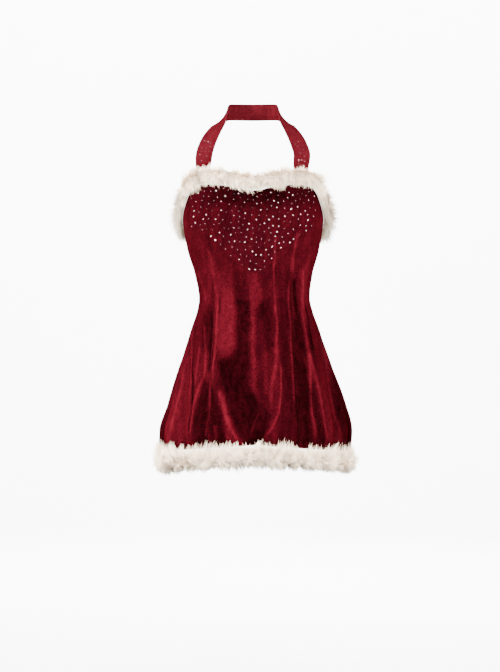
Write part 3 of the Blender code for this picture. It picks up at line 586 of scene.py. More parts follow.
def smooth_curve(positions, values, at):
    """Values read from a smooth curve through a table, which never overshoots it."""
    positions, values = np.asarray(positions, float), np.asarray(values, float)
    gaps = np.diff(positions)
    rises = np.diff(values) / gaps
    before, after = rises[:-1], rises[1:]
    same_way = before * after > 0
    slopes = np.concatenate([rises[:1], np.zeros(len(before)), rises[-1:]])
    slopes[1:-1][same_way] = (2 * before * after)[same_way] / (before + after)[same_way]
    at = np.clip(at, positions[0], positions[-1])
    i = np.clip(np.searchsorted(positions, at) - 1, 0, len(gaps) - 1)
    s = (at - positions[i]) / gaps[i]
    start, end = values[i], values[i + 1]
    out, into = slopes[i] * gaps[i], slopes[i + 1] * gaps[i]
    bend = 2 * (start - end) + out + into
    return start + s * (out + s * (3 * (end - start) - 2 * out - into + s * bend))


def column(table, name):
    return [getattr(row, name) for row in table]


def edge_drop(table, angle):
    """Drop of an edge of the cloth at an angle, the same on both sides of the body."""
    degrees = np.degrees(np.abs((np.asarray(angle) + np.pi) % (2 * np.pi) - np.pi))
    return smooth_curve(column(table, "degrees"), column(table, "drop"), degrees)


def section_at(drop, name):
    return smooth_curve(column(SECTIONS, "drop"), column(SECTIONS, name), drop)


def body(angle, drop):
    """Point of the cloth before its folds: a rounded section with the bust's two rises."""
    wide, square = section_at(drop, "half_width"), section_at(drop, "square")
    front, back = section_at(drop, "front"), section_at(drop, "back")
    sine, cosine = np.sin(angle), np.cos(angle)
    swell = (np.abs(sine) ** square + np.abs(cosine) ** square) ** (-1 / square)
    x = wide * sine * swell
    y = (front + back) / 2 - (back - front) / 2 * cosine * swell
    across = (np.abs(x) - BUST_OUT) / BUST_WIDE
    down = (drop - BUST_DROP) / BUST_TALL
    y = y - BUST_RISE * np.exp(-(across**2) - down**2) * np.clip(cosine * 2, 0, 1)
    return np.stack([x + section_at(drop, "middle"), y, -drop], axis=-1)


def unit(vectors):
    return vectors / np.linalg.norm(vectors, axis=-1, keepdims=True)


def outward(surface, angle, drop):
    """Unit normals of a surface, pointing away from the body."""
    h = SLOPE_STEP
    round_it = surface(angle + h, drop) - surface(angle - h, drop)
    down_it = surface(angle, drop + h) - surface(angle, drop - h)
    return unit(np.cross(down_it, round_it))


def smooth_step(share):
    share = np.clip(share, 0, 1)
    return share * share * (3 - 2 * share)


def past(value, span):
    """How far a value has come through a span, from 0 at its start to 1."""
    return np.clip((value - span.start) / span.over, 0, 1)


def turn_between(angle, other):
    return (angle - other + np.pi) % (2 * np.pi) - np.pi


def girth_radius(drop):
    return (section_at(drop, "half_width") * 2 + section_at(drop, "back") - section_at(drop, "front")) / 4


def fold_height(fold, angle, drop, radius):
    """How far one main fold lifts the cloth."""
    s = np.clip((drop - fold.top) / (fold.end - fold.top), 0, 1)
    top, middle, end = (math.radians(d) for d in (fold.top_deg, fold.middle_deg, fold.end_deg))
    bend = top + end - 2 * middle
    path = top + s * (4 * middle - 3 * top - end + 2 * s * bend)
    away = turn_between(angle, path) * radius / fold.wide
    along = smooth_step(s * 2) if fold.end == PAST_HEM else np.sin(np.pi * s) ** 2
    return fold.height * along * np.exp(-(away**2))


def crease_height(crease, angle, drop, radius):
    """How far one straight crease lifts the cloth."""
    turn = turn_between(angle, math.radians(crease.start_deg)) * radius
    fall = drop - crease.start_drop
    run = math.radians(crease.end_deg - crease.start_deg) * float(girth_radius(crease.start_drop))
    down = crease.end_drop - crease.start_drop
    length = math.hypot(run, down)
    share = np.clip((turn * run + fall * down) / length**2, 0, 1)
    away = (turn * down - fall * run) / length / crease.wide
    return crease.height * np.sin(np.pi * share) ** 2 * np.exp(-(away**2))


def puckers():
    """Short creases that run up from the hem and down from the top edge, unevenly spaced."""
    rng = np.random.default_rng(PUCKER_SEED)
    made = []
    for row in PUCKERS:
        for i in range(row.count):
            degrees = -180 + 360 * (i + rng.uniform(-PUCKER_SHIFT, PUCKER_SHIFT)) / row.count
            length = rng.uniform(row.shortest, row.longest)
            lean = rng.uniform(-PUCKER_LEAN, PUCKER_LEAN)
            height = row.height * rng.uniform(*PUCKER_HEIGHTS) * rng.choice([-1, 1])
            wide = row.wide * rng.uniform(*PUCKER_WIDTHS)
            drawn = length * PUCKER_LONGER
            if row.edge == "hem":
                start = float(edge_drop(HEM_EDGE, math.radians(degrees))) - HEM_BAND + length / 2
                made.append(Crease(degrees + lean, start - drawn, degrees, start, height, wide))
            else:
                start = float(edge_drop(TOP_EDGE, math.radians(degrees))) + TOP_BAND - length / 2
                made.append(Crease(degrees, start, degrees + lean, start + drawn, height, wide))
    return tuple(made)


ALL_CREASES = CREASES + puckers()


def seam_line(name, drop):
    """Angle of a seam at each drop. The side and back seams have a mirror image on the right."""
    if name.startswith("centre_back"):
        side = -np.pi if name.endswith("_right") else np.pi
        return np.full_like(np.asarray(drop, float), side)
    sign = -1 if name.endswith("_right") and not name.startswith("front") else 1
    key = name if name.startswith("front") else name.split("_")[0]
    return np.radians(sign * smooth_curve(column(SEAMS, "drop"), column(SEAMS, key), drop))


def lift(angle, drop):
    """How far the main folds and the seams move the cloth out from the body, as in the solids."""
    radius = girth_radius(drop)
    height = sum(fold_height(fold, angle, drop, radius) for fold in FOLDS)
    for name in SEAM_NAMES:
        away = turn_between(angle, seam_line(name, drop)) * radius / SEAM_DIP_WIDE
        height = height - SEAM_DIP * np.exp(-(away**2))
    return height


def plain_cloth(angle, drop):
    """Point of the velvet's outer face with the main folds alone."""
    angle, drop = np.broadcast_arrays(np.asarray(angle, float), np.asarray(drop, float))
    return body(angle, drop) + outward(body, angle, drop) * lift(angle, drop)[..., None]


def angle_of(x, drop):
    """Angles on the front at which the cloth has these x at these drops, found by halving."""
    low, high = np.full_like(x, -math.pi / 2), np.full_like(x, math.pi / 2)
    for _ in range(HALVINGS):
        middle = (low + high) / 2
        short = plain_cloth(middle, drop)[..., 0] < x
        low, high = np.where(short, middle, low), np.where(short, high, middle)
    return (low + high) / 2


def seen_at(x, y):
    """Angles and drops of the cloth that the camera sees at pixels of its picture."""
    x, y = np.array(x, float), np.array(y, float)
    depth = np.full_like(x, FIRST_DEPTH)
    for _ in range(SIGHT_PASSES):
        size = (depth - CAMERA_PLACE[1]) / PIXELS_PER_METRE_AT_ONE
        drop = (y - PICTURE_TALL / 2) * size - CAMERA_PLACE[2]
        angle = angle_of((x - PICTURE_WIDE / 2) * size + CAMERA_PLACE[0], drop)
        depth = plain_cloth(angle, drop)[..., 1]
    return angle, drop


Path = namedtuple("Path", "angles drops")


@lru_cache(maxsize=None)
def path_of(traced):
    return Path(*seen_at(traced.x, traced.y))


def nearest_on(path, angle, drop, closed=False):
    """Distance from a path on the cloth, and the share of the path that is passed at its nearest point."""
    angles, drops = (np.append(v, v[0]) if closed else v for v in path)
    nearest, share = np.full(angle.shape, np.inf), np.zeros(angle.shape)
    radii = girth_radius(drops)
    runs, falls = np.diff(angles) * radii[:-1], np.diff(drops)
    lengths = np.hypot(runs, falls)
    passed = np.concatenate([[0], np.cumsum(lengths)])
    for i, (run, fall, length) in enumerate(zip(runs, falls, lengths)):
        across, down = turn_between(angle, angles[i]) * radii[i], drop - drops[i]
        along = np.clip((across * run + down * fall) / length**2, 0, 1)
        away = np.hypot(across - along * run, down - along * fall)
        nearer = away < nearest
        nearest = np.where(nearer, away, nearest)
        share = np.where(nearer, (passed[i] + along * length) / passed[-1], share)
    return nearest, share


def stroke_height(stroke, angle, drop):
    """How far one traced crease lifts the cloth."""
    away, share = nearest_on(path_of(stroke), angle, drop)
    fade = smooth_step(share / STROKE_FADE) * smooth_step((1 - share) / STROKE_FADE)
    return stroke.height * fade * np.exp(-((away / stroke.wide) ** 2))


def area_light(area, angle, drop):
    """How light one traced area makes the nap, brushed nap and painted light and shade together: evenly
    inside it, and fading over its edge.
    """
    path = path_of(area)
    away, _ = nearest_on(path, angle, drop, closed=True)
    inside = np.zeros(angle.shape, bool)
    for i in range(len(path.drops)):
        a, d = path.angles[i - 1], path.drops[i - 1]
        fall = path.drops[i] - d
        level = (d > drop) != (path.drops[i] > drop)
        inside ^= level & (angle < a + (drop - d) / (fall or 1.0) * (path.angles[i] - a))
    return area.light * smooth_step(0.5 + np.where(inside, away, -away) / area.edge)


def cloth(angle, drop):
    """Point of the velvet's outer face with its folds and creases."""
    angle, drop = np.broadcast_arrays(np.asarray(angle, float), np.asarray(drop, float))
    radius = girth_radius(drop)
    height = lift(angle, drop)
    for crease in ALL_CREASES:
        height = height + crease_height(crease, angle, drop, radius)
    for stroke in STROKES:
        height = height + stroke_height(stroke, angle, drop)
    return body(angle, drop) + outward(body, angle, drop) * height[..., None]


def drops_at(angles, rows):
    """Drops of a grid of angles, whose rows run from the top edge to the hem."""
    top, hem = edge_drop(TOP_EDGE, angles), edge_drop(HEM_EDGE, angles)
    return top + (hem - top) * np.linspace(0, 1, rows + 1)[:, None]


def panel_angles(start, end, shares, rows):
    """Angles of a panel's points, with a column for each share of the way between its seams."""
    drops = np.full((rows + 1, 1), SECTIONS[-1].drop)
    for _ in range(SEAM_PASSES + 1):
        angles = seam_line(start, drops) * (1 - shares) + seam_line(end, drops) * shares
        drops = drops_at(angles, rows)
    return angles


def nap_with_painted_light(angle, drop):
    """How light the brushed nap is, around 0, with the painted light and shade of its patches and traced
    areas.
    """
    radius = girth_radius(drop)
    light = np.zeros_like(angle)
    for patch in PATCHES:
        away = turn_between(angle, math.radians(patch.degrees)) * radius / patch.wide
        down = (drop - patch.drop) / patch.tall
        light = light + patch.light * np.exp(-(away**2) - down**2)
    return light + sum(area_light(area, angle, drop) for area in AREAS)


def painted_crease_light(angle, drop):
    """Painted light of the folds and creases in the nap: a painted highlight on a ridge and painted shade in
    a trough.
    """
    radius = girth_radius(drop)
    folds = sum(fold_height(fold, angle, drop, radius) for fold in FOLDS)
    fine = sum(crease_height(crease, angle, drop, radius) for crease in ALL_CREASES)
    traced = sum(stroke_height(stroke, angle, drop) for stroke in STROKES)
    return FOLD_PAINTED_LIGHT * folds + CREASE_PAINTED_LIGHT * fine + STROKE_PAINTED_LIGHT * traced


def feed(tree, socket, value):
    """Link a value to a socket, or set it there where it comes from no other node."""
    if isinstance(value, bpy.types.NodeSocket):
        tree.links.new(value, socket)
    else:
        socket.default_value = value


def add_node(tree, kind, place, inputs=None, **values):
    node = tree.nodes.new(kind)
    node.location = place
    for name, value in values.items():
        setattr(node, name, value)
    for key, value in (inputs or {}).items():
        feed(tree, node.inputs[key], value)
    return node


def pattern(tree, vector, kind, place):
    """A pattern on a piece, drawn out up the piece where its stretch is under 1."""
    x, y = place
    if kind.stretch != 1:
        scale = (1.0, 1.0, kind.stretch)
        mapping = add_node(tree, "ShaderNodeMapping", (x - 200, y), {"Vector": vector, "Scale": scale})
        vector = mapping.outputs["Vector"]
    return add_node(tree, "ShaderNodeTexNoise", place, {
        "Vector": vector, "Scale": kind.scale, "Detail": kind.detail, "Roughness": kind.rough,
    }).outputs["Fac"]  # fmt: skip


def attribute(tree, name, place):
    return add_node(tree, "ShaderNodeAttribute", place, attribute_name=name).outputs["Fac"]


def math_node(tree, operation, first, second, place, third=0.0, clamp=False):
    inputs = {0: first, 1: second, 2: third}
    node = add_node(tree, "ShaderNodeMath", place, inputs, operation=operation, use_clamp=clamp)
    return node.outputs["Value"]


def ramp(tree, factor, stops, place):
    """Colour ramp with its stops as position and colour."""
    node = add_node(tree, "ShaderNodeValToRGB", place, {"Fac": factor})
    elements = node.color_ramp.elements
    while len(elements) < len(stops):
        elements.new(0.5)
    for element, (position, colour) in zip(elements, stops):
        element.position = position
        element.color = (*colour, 1)
    return node.outputs["Color"]


def bump(tree, height, relief, place):
    strength, distance = relief
    inputs = {"Height": height, "Strength": strength, "Distance": distance}
    return add_node(tree, "ShaderNodeBump", place, inputs).outputs["Normal"]


def new_material(name, finish):
    """A material with its shader's finish set, its tree and the piece's own coordinates."""
    material = bpy.data.materials.new(name)
    material.use_nodes = True
    tree = material.node_tree
    shader = tree.nodes["Principled BSDF"]
    for key, value in FINISHES[finish].items():
        shader.inputs[key].default_value = value
    place = add_node(tree, "ShaderNodeTexCoord", (-1500, 0)).outputs["Object"]
    return material, shader, tree, place


def velvet_material(name, colours):
    """Crushed stretch velvet: a dark ground, lightened and darkened by its brushed nap and by painted light
    and shade, with a faint red sheen.
    """
    material, shader, tree, place = new_material(name, "velvet")
    shade = BASE_SHADE
    drawn = []
    for i, kind in enumerate((STREAKS, CLOUDS, SPECKS)):
        row = -300 * i
        drawn.append(pattern(tree, place, kind, (-1100, row)))
        part = math_node(tree, "SUBTRACT", drawn[-1], 0.5, (-900, row))
        part = math_node(tree, "MULTIPLY", part, kind.strength, (-740, row))
        shade = math_node(tree, "ADD", part, shade, (-580, row))
    ragged = pattern(tree, place, TEARS, (-1100, -900))
    torn = math_node(tree, "MULTIPLY_ADD", ragged, TEARS.strength, (-900, -900), TEAR_BASE)
    # The attribute holds the brushed nap with painted highlights on ridges and painted shade in troughs,
    # along seams, on the turned-in cloth and towards the skirt's edges.
    patchy = math_node(tree, "MULTIPLY", attribute(tree, "nap", (-1300, 300)), torn, (-740, -900))
    shade = math_node(tree, "ADD", shade, patchy, (-400, 0), clamp=True)
    feed(tree, shader.inputs["Base Color"], ramp(tree, shade, tuple(zip(VELVET_STOPS, colours)), (-220, 100)))
    streaks, _, specks = drawn
    pile = math_node(tree, "ADD", specks, streaks, (-540, -1100))
    feed(tree, shader.inputs["Normal"], bump(tree, pile, RELIEFS["velvet"], (-220, -300)))
    return material


def knit_back_material(name):
    """Wrong side of the velvet: a dull, fine knit."""
    material, shader, tree, place = new_material(name, name)
    loops = pattern(tree, place, KNIT_LOOPS, (-500, 0))
    patches = pattern(tree, place, KNIT_PATCHES, (-500, -250))
    mixed = math_node(tree, "MULTIPLY_ADD", patches, KNIT_PATCHES.strength, (-320, -100), loops)
    feed(tree, shader.inputs["Base Color"], ramp(tree, mixed, STOPS[name], (-160, 0)))
    feed(tree, shader.inputs["Normal"], bump(tree, loops, RELIEFS[name], (-160, -300)))
    return material


def colour_with_painted_light(tree, place, name, tone):
    """Colour of a piece by its painted light, an attribute on it, with the material's pattern added."""
    kind = PATTERNS[name]
    marks = pattern(tree, place, kind, (-700, -100))
    tone = attribute(tree, tone, (-700, 200))
    mixed = math_node(tree, "MULTIPLY_ADD", marks, kind.strength, (-500, 0), tone)
    return ramp(tree, mixed, STOPS[name], (-320, 0))


def fur_material(name):
    """White faux fur, a little creamy, with painted shade that darkens it towards the roots of its hairs and
    the painted light and shade of its shade attribute.
    """
    material, shader, tree, place = new_material(name, name)
    colour = colour_with_painted_light(tree, place, name, "tip")
    inputs = {0: colour, "Scale": attribute(tree, "shade", (-320, -300))}
    shaded = add_node(tree, "ShaderNodeVectorMath", (-160, 0), inputs, operation="SCALE")
    feed(tree, shader.inputs["Base Color"], shaded.outputs["Vector"])
    return material


def stone_material(name):
    """Clear, foil-backed rhinestone, its colour a painted glint that runs from dark to near white."""
    material, shader, tree, place = new_material(name, name)
    feed(tree, shader.inputs["Base Color"], colour_with_painted_light(tree, place, name, "tone"))
    return material


def patterned_material(name):
    """Backing, painted metal or paper, whose colour and bump follow one pattern."""
    material, shader, tree, place = new_material(name, name)
    marks = pattern(tree, place, PATTERNS[name], (-500, 0))
    feed(tree, shader.inputs["Base Color"], ramp(tree, marks, STOPS[name], (-300, 0)))
    if name in RELIEFS:
        feed(tree, shader.inputs["Normal"], bump(tree, marks, RELIEFS[name], (-300, -250)))
    return material


MATERIALS = {}


def material_of(name):
    """One of the scene's materials, made when it is first asked for."""
    look = bpy.context.scene.dress_look
    velvets = {
        "velvet": (look.velvet_deep, look.velvet_colour, look.velvet_bright),
        "strap_velvet": (look.velvet_colour, look.strap_colour, look.strap_bright),
    }
    makers = {"velvet_back": knit_back_material, "white_fur": fur_material, "rhinestone": stone_material}
    if name not in MATERIALS:
        if name in velvets:
            MATERIALS[name] = velvet_material(name, velvets[name])
        else:
            MATERIALS[name] = makers.get(name, patterned_material)(name)
    return MATERIALS[name]


def add_mesh(name, points, faces, materials):
    mesh = bpy.data.meshes.new(name)
    mesh.from_pydata([tuple(map(float, p)) for p in points], [], [tuple(map(int, f)) for f in faces])
    mesh.update()
    mesh.shade_smooth()
    obj = bpy.data.objects.new(name, mesh)
    bpy.context.scene.collection.objects.link(obj)
    for material in materials:
        mesh.materials.append(material_of(material))
    return obj


def grid_faces(rows, columns, ring=False):
    """Quads between the points of a grid, whose last row meets the first where it is a ring."""
    number = np.arange(rows * columns).reshape(rows, columns)
    below = np.roll(number, -1, axis=0)
    if not ring:
        number, below = number[:-1], below[:-1]
    quads = np.stack([number[:, :-1], below[:, :-1], below[:, 1:], number[:, 1:]], -1)
    return quads.reshape(-1, 4)


def paint(obj, name, values):
    """Attribute on a piece's points: a vector for each point, or else a number."""
    values = np.asarray(values, np.float32)
    vectors = values.size == 3 * len(obj.data.vertices)
    kind, key = ("FLOAT_VECTOR", "vector") if vectors else ("FLOAT", "value")
    obj.data.attributes.new(name, kind, "POINT").data.foreach_set(key, values.ravel())


def turn_outward(obj, closed=False):
    """Make the faces of a piece point outwards, after its edges are merged and closed where they meet."""
    mesh = bmesh.new()
    mesh.from_mesh(obj.data)
    if closed:
        bmesh.ops.remove_doubles(mesh, verts=mesh.verts, dist=MERGE_WITHIN)
        bmesh.ops.holes_fill(mesh, edges=[e for e in mesh.edges if e.is_boundary])
    bmesh.ops.recalc_face_normals(mesh, faces=mesh.faces)
    mesh.to_mesh(obj.data)
    mesh.free()
    obj.data.shade_smooth()


def round_again(grid):
    """A grid with its first column repeated after its last, so that its rows are rings."""
    return np.concatenate([grid, grid[:, :1]], axis=1)


def apply_modifiers(obj):
    """Turn an object with its modifiers into a plain mesh."""
    deps = bpy.context.evaluated_depsgraph_get()
    mesh = bpy.data.meshes.new_from_object(obj.evaluated_get(deps), depsgraph=deps)
    obj.modifiers.clear()
    old = obj.data
    obj.data = mesh
    mesh.name = obj.name
    bpy.data.meshes.remove(old)
    return obj


def thicken(obj, thickness, back=1, rim=0):
    """Give a sheet its thickness, inwards, with another material on its wrong side."""
    solid = obj.modifiers.new("thickness", "SOLIDIFY")
    solid.thickness = thickness
    solid.offset = -1
    solid.material_offset = back
    solid.material_offset_rim = rim
    return apply_modifiers(obj)


def make_panel(cut, look):
    """One velvet panel, with its cloth turned in along both seams."""
    shares = np.linspace(0, 1, cut.columns + 1)
    angles = panel_angles(cut.start, cut.end, shares, PANEL_ROWS)
    drops = drops_at(angles, PANEL_ROWS)
    along = np.linalg.norm(plain_cloth(angles + SLOPE_STEP, drops) - plain_cloth(angles, drops), axis=-1)
    half_gap = SEAM_GAP / 2 * SLOPE_STEP / along
    seams = cloth(angles[:, [0, -1]], drops[:, [0, -1]])
    angles[:, 0] += half_gap[:, 0]
    angles[:, -1] -= half_gap[:, -1]
    outer = cloth(angles, drops)
    inward = -outward(body, angles, drops)
    shut = outer[:, [0, -1]] * (1 - SEAM_SHUT) + seams * SEAM_SHUT
    turned = [shut[:, :1] + inward[:, :1] * SEAM_ALLOWANCE * s for s in TURNED_SHARES]
    turned_end = [shut[:, 1:] + inward[:, -1:] * SEAM_ALLOWANCE * s for s in reversed(TURNED_SHARES)]
    points = np.concatenate([*turned, outer, *turned_end], axis=1)
    # Brushed nap with painted light and shade, then painted shade along the seams and on the turned-in cloth.
    nap = nap_with_painted_light(angles, drops) + painted_crease_light(angles, drops)
    nap[:, [0, -1]] -= SEAM_PAINTED_SHADE
    nap = np.pad(nap, ((0, 0), (len(TURNED_SHARES),) * 2), constant_values=TURNED_PAINTED_SHADE)
    faces = grid_faces(*points.shape[:2])
    name = cut.name + "_velvet"
    obj = add_mesh(name, points.reshape(-1, 3), faces, ("velvet", "velvet_back"))
    paint(obj, "nap", nap)
    thicken(obj, look.cloth_thickness)
    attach(obj, "dress")
    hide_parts(cut.name)
    return obj


def fur_places(trim):
    """Angles round the body where a fur strip is drawn, more finely than the solids' columns."""
    ring = trim is HEM_TRIM
    end = math.pi if ring else math.radians(FUR_END_DEG)
    return np.linspace(-end, end, trim.columns + 1)[: -1 if ring else None]


def fur_core(trim, angles):
    """Rings of the fur's core: its points, its pile's comb, the way out from the cloth, length and painted
    shade.
    """
    ring = trim is HEM_TRIM
    degrees = np.degrees(angles)
    edge_drops = edge_drop(trim.edge, angles)
    band_drops = edge_drops - trim.band if ring else edge_drops + trim.band
    edge, band_points = plain_cloth(angles, edge_drops), plain_cloth(angles, band_drops)
    up = unit(band_points - edge) if ring else unit(edge - band_points)
    if ring:
        rise = smooth_curve(column(HEM_RISES, "degrees"), column(HEM_RISES, "rise"), degrees)
    else:
        start, end = ((degrees - PART_DEG[0]) / PART_FADE, (PART_DEG[1] - degrees) / PART_FADE)
        rise = PART_RISE * (smooth_step(start) * smooth_step(end))
    out = outward(body, angles, edge_drops)
    folds = lift(angles, edge_drops)
    sides = smooth_step(past(np.abs(degrees), NECK_SIDE_DARKENS))
    outline = np.array([(p.out, p.up, p.comb, p.reach) for p in trim.core])
    closed = np.concatenate([outline, outline[:1]])
    at = np.linspace(0, len(outline), len(outline) * FUR_STEPS + 1)[:-1]
    fine = np.stack([np.interp(at, range(len(closed)), c) for c in closed.T], axis=1)
    made = []
    for p_out, p_up, comb, reach in fine:
        # Painted shade on the hem pile's lower side; painted light along the neckline's top, and painted
        # shade on its lower side and at the body's sides.
        if ring:
            raised = p_up + rise * past(p_up, HEM_UP_RISES)
            shade = 1 - LOW_SHADE * past(-p_up, HEM_DOWN_DARKENS)
        else:
            raised = p_up + rise * past(-p_up, NECK_DOWN_RISES)
            light = HIGH_LIGHT * past(p_up, NECK_UP_LIGHTENS)
            shade = 1 + light - LOW_SHADE * NECK_LOW * past(-p_up, NECK_DOWN_DARKENS) - SIDE_SHADE * sides
        fullness = min(max(p_out / FUR_FULL, 0), 1)
        base = edge + up * raised[:, None] + out * (p_out - FUR_EVENS * fullness * folds)[:, None]
        if p_out < LIES_WITHIN and abs(p_up) > LIES_BEYOND:
            share = min(abs(p_up) / trim.band, 1)
            base = edge * (1 - share) + band_points * share + out * p_out
        made.append((base, up * comb, out, np.full(len(angles), reach), np.full(len(angles), shade)))
    return tuple(np.stack(values, 1) for values in zip(*made))


class DRESS_PG_look(PropertyGroup):
    cloth_thickness: FloatProperty(
        name="Cloth Thickness", description="Thickness of the velvet", default=0.0012, unit="LENGTH")
    fur_length: FloatProperty(
        name="Fur Length", description="Length of the longest hairs", default=0.0150, unit="LENGTH")
    fur_width: FloatProperty(
        name="Hair Width", description="Width of a lock of hairs at its root", default=0.00092, unit="LENGTH")
    fur_density: FloatProperty(
        name="Fur Density", description="Locks of hairs on a square metre of core", default=740000.0)
    fur_lean: FloatProperty(
        name="Fur Lean", description="How far the hairs lean along the comb", default=0.75)
    fur_ruffle: FloatProperty(
        name="Fur Ruffle", description="How far neighbouring tufts part", default=3.0)
    stone_large: FloatProperty(
        name="Large Stone", description="Width of a large rhinestone", default=0.0021, unit="LENGTH")
    stone_small: FloatProperty(
        name="Small Stone", description="Width of a small rhinestone", default=0.0013, unit="LENGTH")
    stone_spacing: FloatProperty(
        name="Stone Spacing", description="Least distance between two rhinestones",
        default=0.0105, unit="LENGTH")
    fur_seed: IntProperty(name="Fur Seed", description="Seed of the fur's scatter", default=3)
    # The velvet's deep and bright colours also carry its painted shade and painted highlights.
    velvet_deep: FloatVectorProperty(
        name="Velvet Depth", description="Colour of the velvet where it looks into its pile",
        default=(0.0020, 0.0002, 0.0003), subtype="COLOR")
    velvet_colour: FloatVectorProperty(
        name="Velvet", description="Colour of the velvet", default=(0.0150, 0.0008, 0.0017), subtype="COLOR")
    velvet_bright: FloatVectorProperty(
        name="Velvet Nap", description="Colour of the brushed nap",
        default=(0.0430, 0.0026, 0.0050), subtype="COLOR")
    strap_colour: FloatVectorProperty(
        name="Strap", description="Colour of the strap's velvet",
        default=(0.0310, 0.0023, 0.0037), subtype="COLOR")
    strap_bright: FloatVectorProperty(
        name="Strap Nap", description="Colour of the strap's nap",
        default=(0.0570, 0.0052, 0.0078), subtype="COLOR")


class DRESS_OT_velvet(Operator):
    """Make the seven velvet panels of the dress"""

    bl_idname = "dress.velvet"
    bl_label = "Velvet Panels"

    def execute(self, context):
        look = context.scene.dress_look
        for cut in CUTS:
            panel = make_panel(cut, look)
        return {"FINISHED"}


def foot_angles(side):
    """Angles of the strap's foot on the top edge, from its edge next to the neck to the far one."""
    side_name = "side_front_left" if side > 0 else "side_front_right"
    front_share = 1 - STRAP_COLUMNS / SOLID_COLUMNS["centre_front"]
    side_share = STRAP_COLUMNS / SOLID_COLUMNS[side_name]
    if side > 0:
        inner = panel_angles("front_right", "front_left", np.array([front_share, 1.0]), 1)[0]
        outer = panel_angles("front_left", "side_left", np.array([side_share]), 1)[0]
    else:
        inner = panel_angles("front_right", "front_left", np.array([1 - front_share, 0.0]), 1)[0]
        outer = panel_angles("side_right", "front_right", np.array([1 - side_share]), 1)[0]
    ends = [*inner, *outer]
    return np.interp(np.linspace(0, 2, STRAP_ACROSS + 1), [0, 1, 2], ends)


def strap_surface(side):
    """Inner and outer points of one half of the strap, from the top edge to the nape."""
    angles = foot_angles(side)

    def on_cloth(height):
        drops = edge_drop(TOP_EDGE, angles) - SEAM_GAP - height
        outer = plain_cloth(angles, drops)
        return outer - outward(plain_cloth, angles, drops) * CLOTH, outer

    mirror = np.array([side, 1, 1])
    feet = [on_cloth(height)[0] for height in (0, STRAP_ON_CLOTH)]
    middles = [(foot[0] + foot[-1]) / 2 for foot in feet]
    middles = np.array(middles + [np.array([s.x, s.y, s.z]) * mirror for s in STRAP])
    middles[-1, 0] = 0
    ways = [unit(foot[-1] - foot[0]) for foot in feet]
    ways = np.array(ways + [np.array([s.wide_x, s.wide_y, s.wide_z]) * mirror for s in STRAP])
    along = np.concatenate([[0], np.cumsum(np.linalg.norm(np.diff(middles, axis=0), axis=1))])
    at = np.linspace(0, along[-1], STRAP_ROWS + 1)
    middle = np.stack([smooth_curve(along, c, at) for c in middles.T], axis=1)
    way = np.stack([smooth_curve(along, c, at) for c in ways.T], axis=1)
    tangent = unit(np.gradient(middle, axis=0))
    tangent[-1] = (-side, 0, 0)
    way = unit(way - tangent * (way * tangent).sum(axis=1, keepdims=True))
    normal = side * np.cross(way, tangent)
    across = np.linspace(-0.5, 0.5, STRAP_ACROSS + 1)
    inner = (middle[:, None] + way[:, None] * (across * STRAP_WIDE)[None, :, None]
             - normal[:, None] * (STRAP_CROWN * 4 * across**2)[None, :, None])
    outer = inner + normal[:, None] * CLOTH
    for i, height in enumerate(at):
        on_it = 1 - smooth_step(height / STRAP_ON_CLOTH)
        if on_it > 0:
            low, high = on_cloth(height)
            inner[i] += (low - inner[i]) * on_it
            outer[i] += (high - outer[i]) * on_it
    return inner, outer


class DRESS_OT_straps(Operator):
    """Make the two halves of the halter strap"""

    bl_idname = "dress.straps"
    bl_label = "Halter Strap"

    def execute(self, context):
        for side, node in ((1, "halter_strap_left"), (-1, "halter_strap_right")):
            inner, outer = strap_surface(side)
            points = round_again(np.concatenate([outer, inner[:, ::-1]], axis=1))
            faces = grid_faces(*points.shape[:2])
            obj = add_mesh(node + "_velvet", points.reshape(-1, 3), faces, ("strap_velvet",))
            turn_outward(obj, closed=True)
            obj.data.set_sharp_from_angle(angle=math.radians(STRAP_SHARP_DEG))
            paint(obj, "nap", np.full(len(obj.data.vertices), STRAP_NAP))
            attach(obj, "dress")
            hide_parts(node)
        return {"FINISHED"}


def strand_mesh():
    """A curved lock of hairs, one unit long: a tapered blade of three stretches."""
    points = []
    for ring in LOCK:
        points += [(ring.bend, -ring.wide / 2, ring.height), (ring.bend, ring.wide / 2, ring.height)]
    faces = [(2 * i, 2 * i + 1, 2 * i + 3, 2 * i + 2) for i in range(len(LOCK) - 1)]
    mesh = bpy.data.meshes.new("lock")
    mesh.from_pydata(points, [], faces)
    mesh.shade_smooth()
    lock = bpy.data.objects.new("lock", mesh)
    paint(lock, "tip", np.repeat(column(LOCK, "tip"), 2))
    return lock


def new_tree(name, inputs, result):
    """A Geometry Nodes tree with its inputs as name and kind, and the sockets that give them."""
    tree = bpy.data.node_groups.new(name, "GeometryNodeTree")
    for label, kind in inputs.items():
        tree.interface.new_socket(name=label, in_out="INPUT", socket_type="NodeSocket" + kind)
    tree.interface.new_socket(name=result, in_out="OUTPUT", socket_type="NodeSocketGeometry")
    return tree, add_node(tree, "NodeGroupInput", (-1400, 0)).outputs


def named(tree, name, kind, place):
    node = add_node(tree, "GeometryNodeInputNamedAttribute", place, {"Name": name}, data_type=kind)
    return node.outputs["Attribute"]


def random_value(tree, least, most, seed, place):
    """A random number or vector between two for each point."""
    vector = isinstance(least, tuple)
    first, result, kind = (0, 0, "FLOAT_VECTOR") if vector else (2, 1, "FLOAT")
    inputs = {first: least, first + 1: most, "Seed": seed}
    return add_node(tree, "FunctionNodeRandomValue", place, inputs, data_type=kind).outputs[result]


def plant(tree, points, thing, rotation, scale):
    """Set an object on each point, turned and scaled there."""
    inputs = {"Object": thing, "As Instance": True}
    info = add_node(tree, "GeometryNodeObjectInfo", (240, 300), inputs)
    return add_node(tree, "GeometryNodeInstanceOnPoints", (600, 200), {
        "Points": points, "Instance": info.outputs["Geometry"], "Rotation": rotation, "Scale": scale,
    }).outputs["Instances"]  # fmt: skip


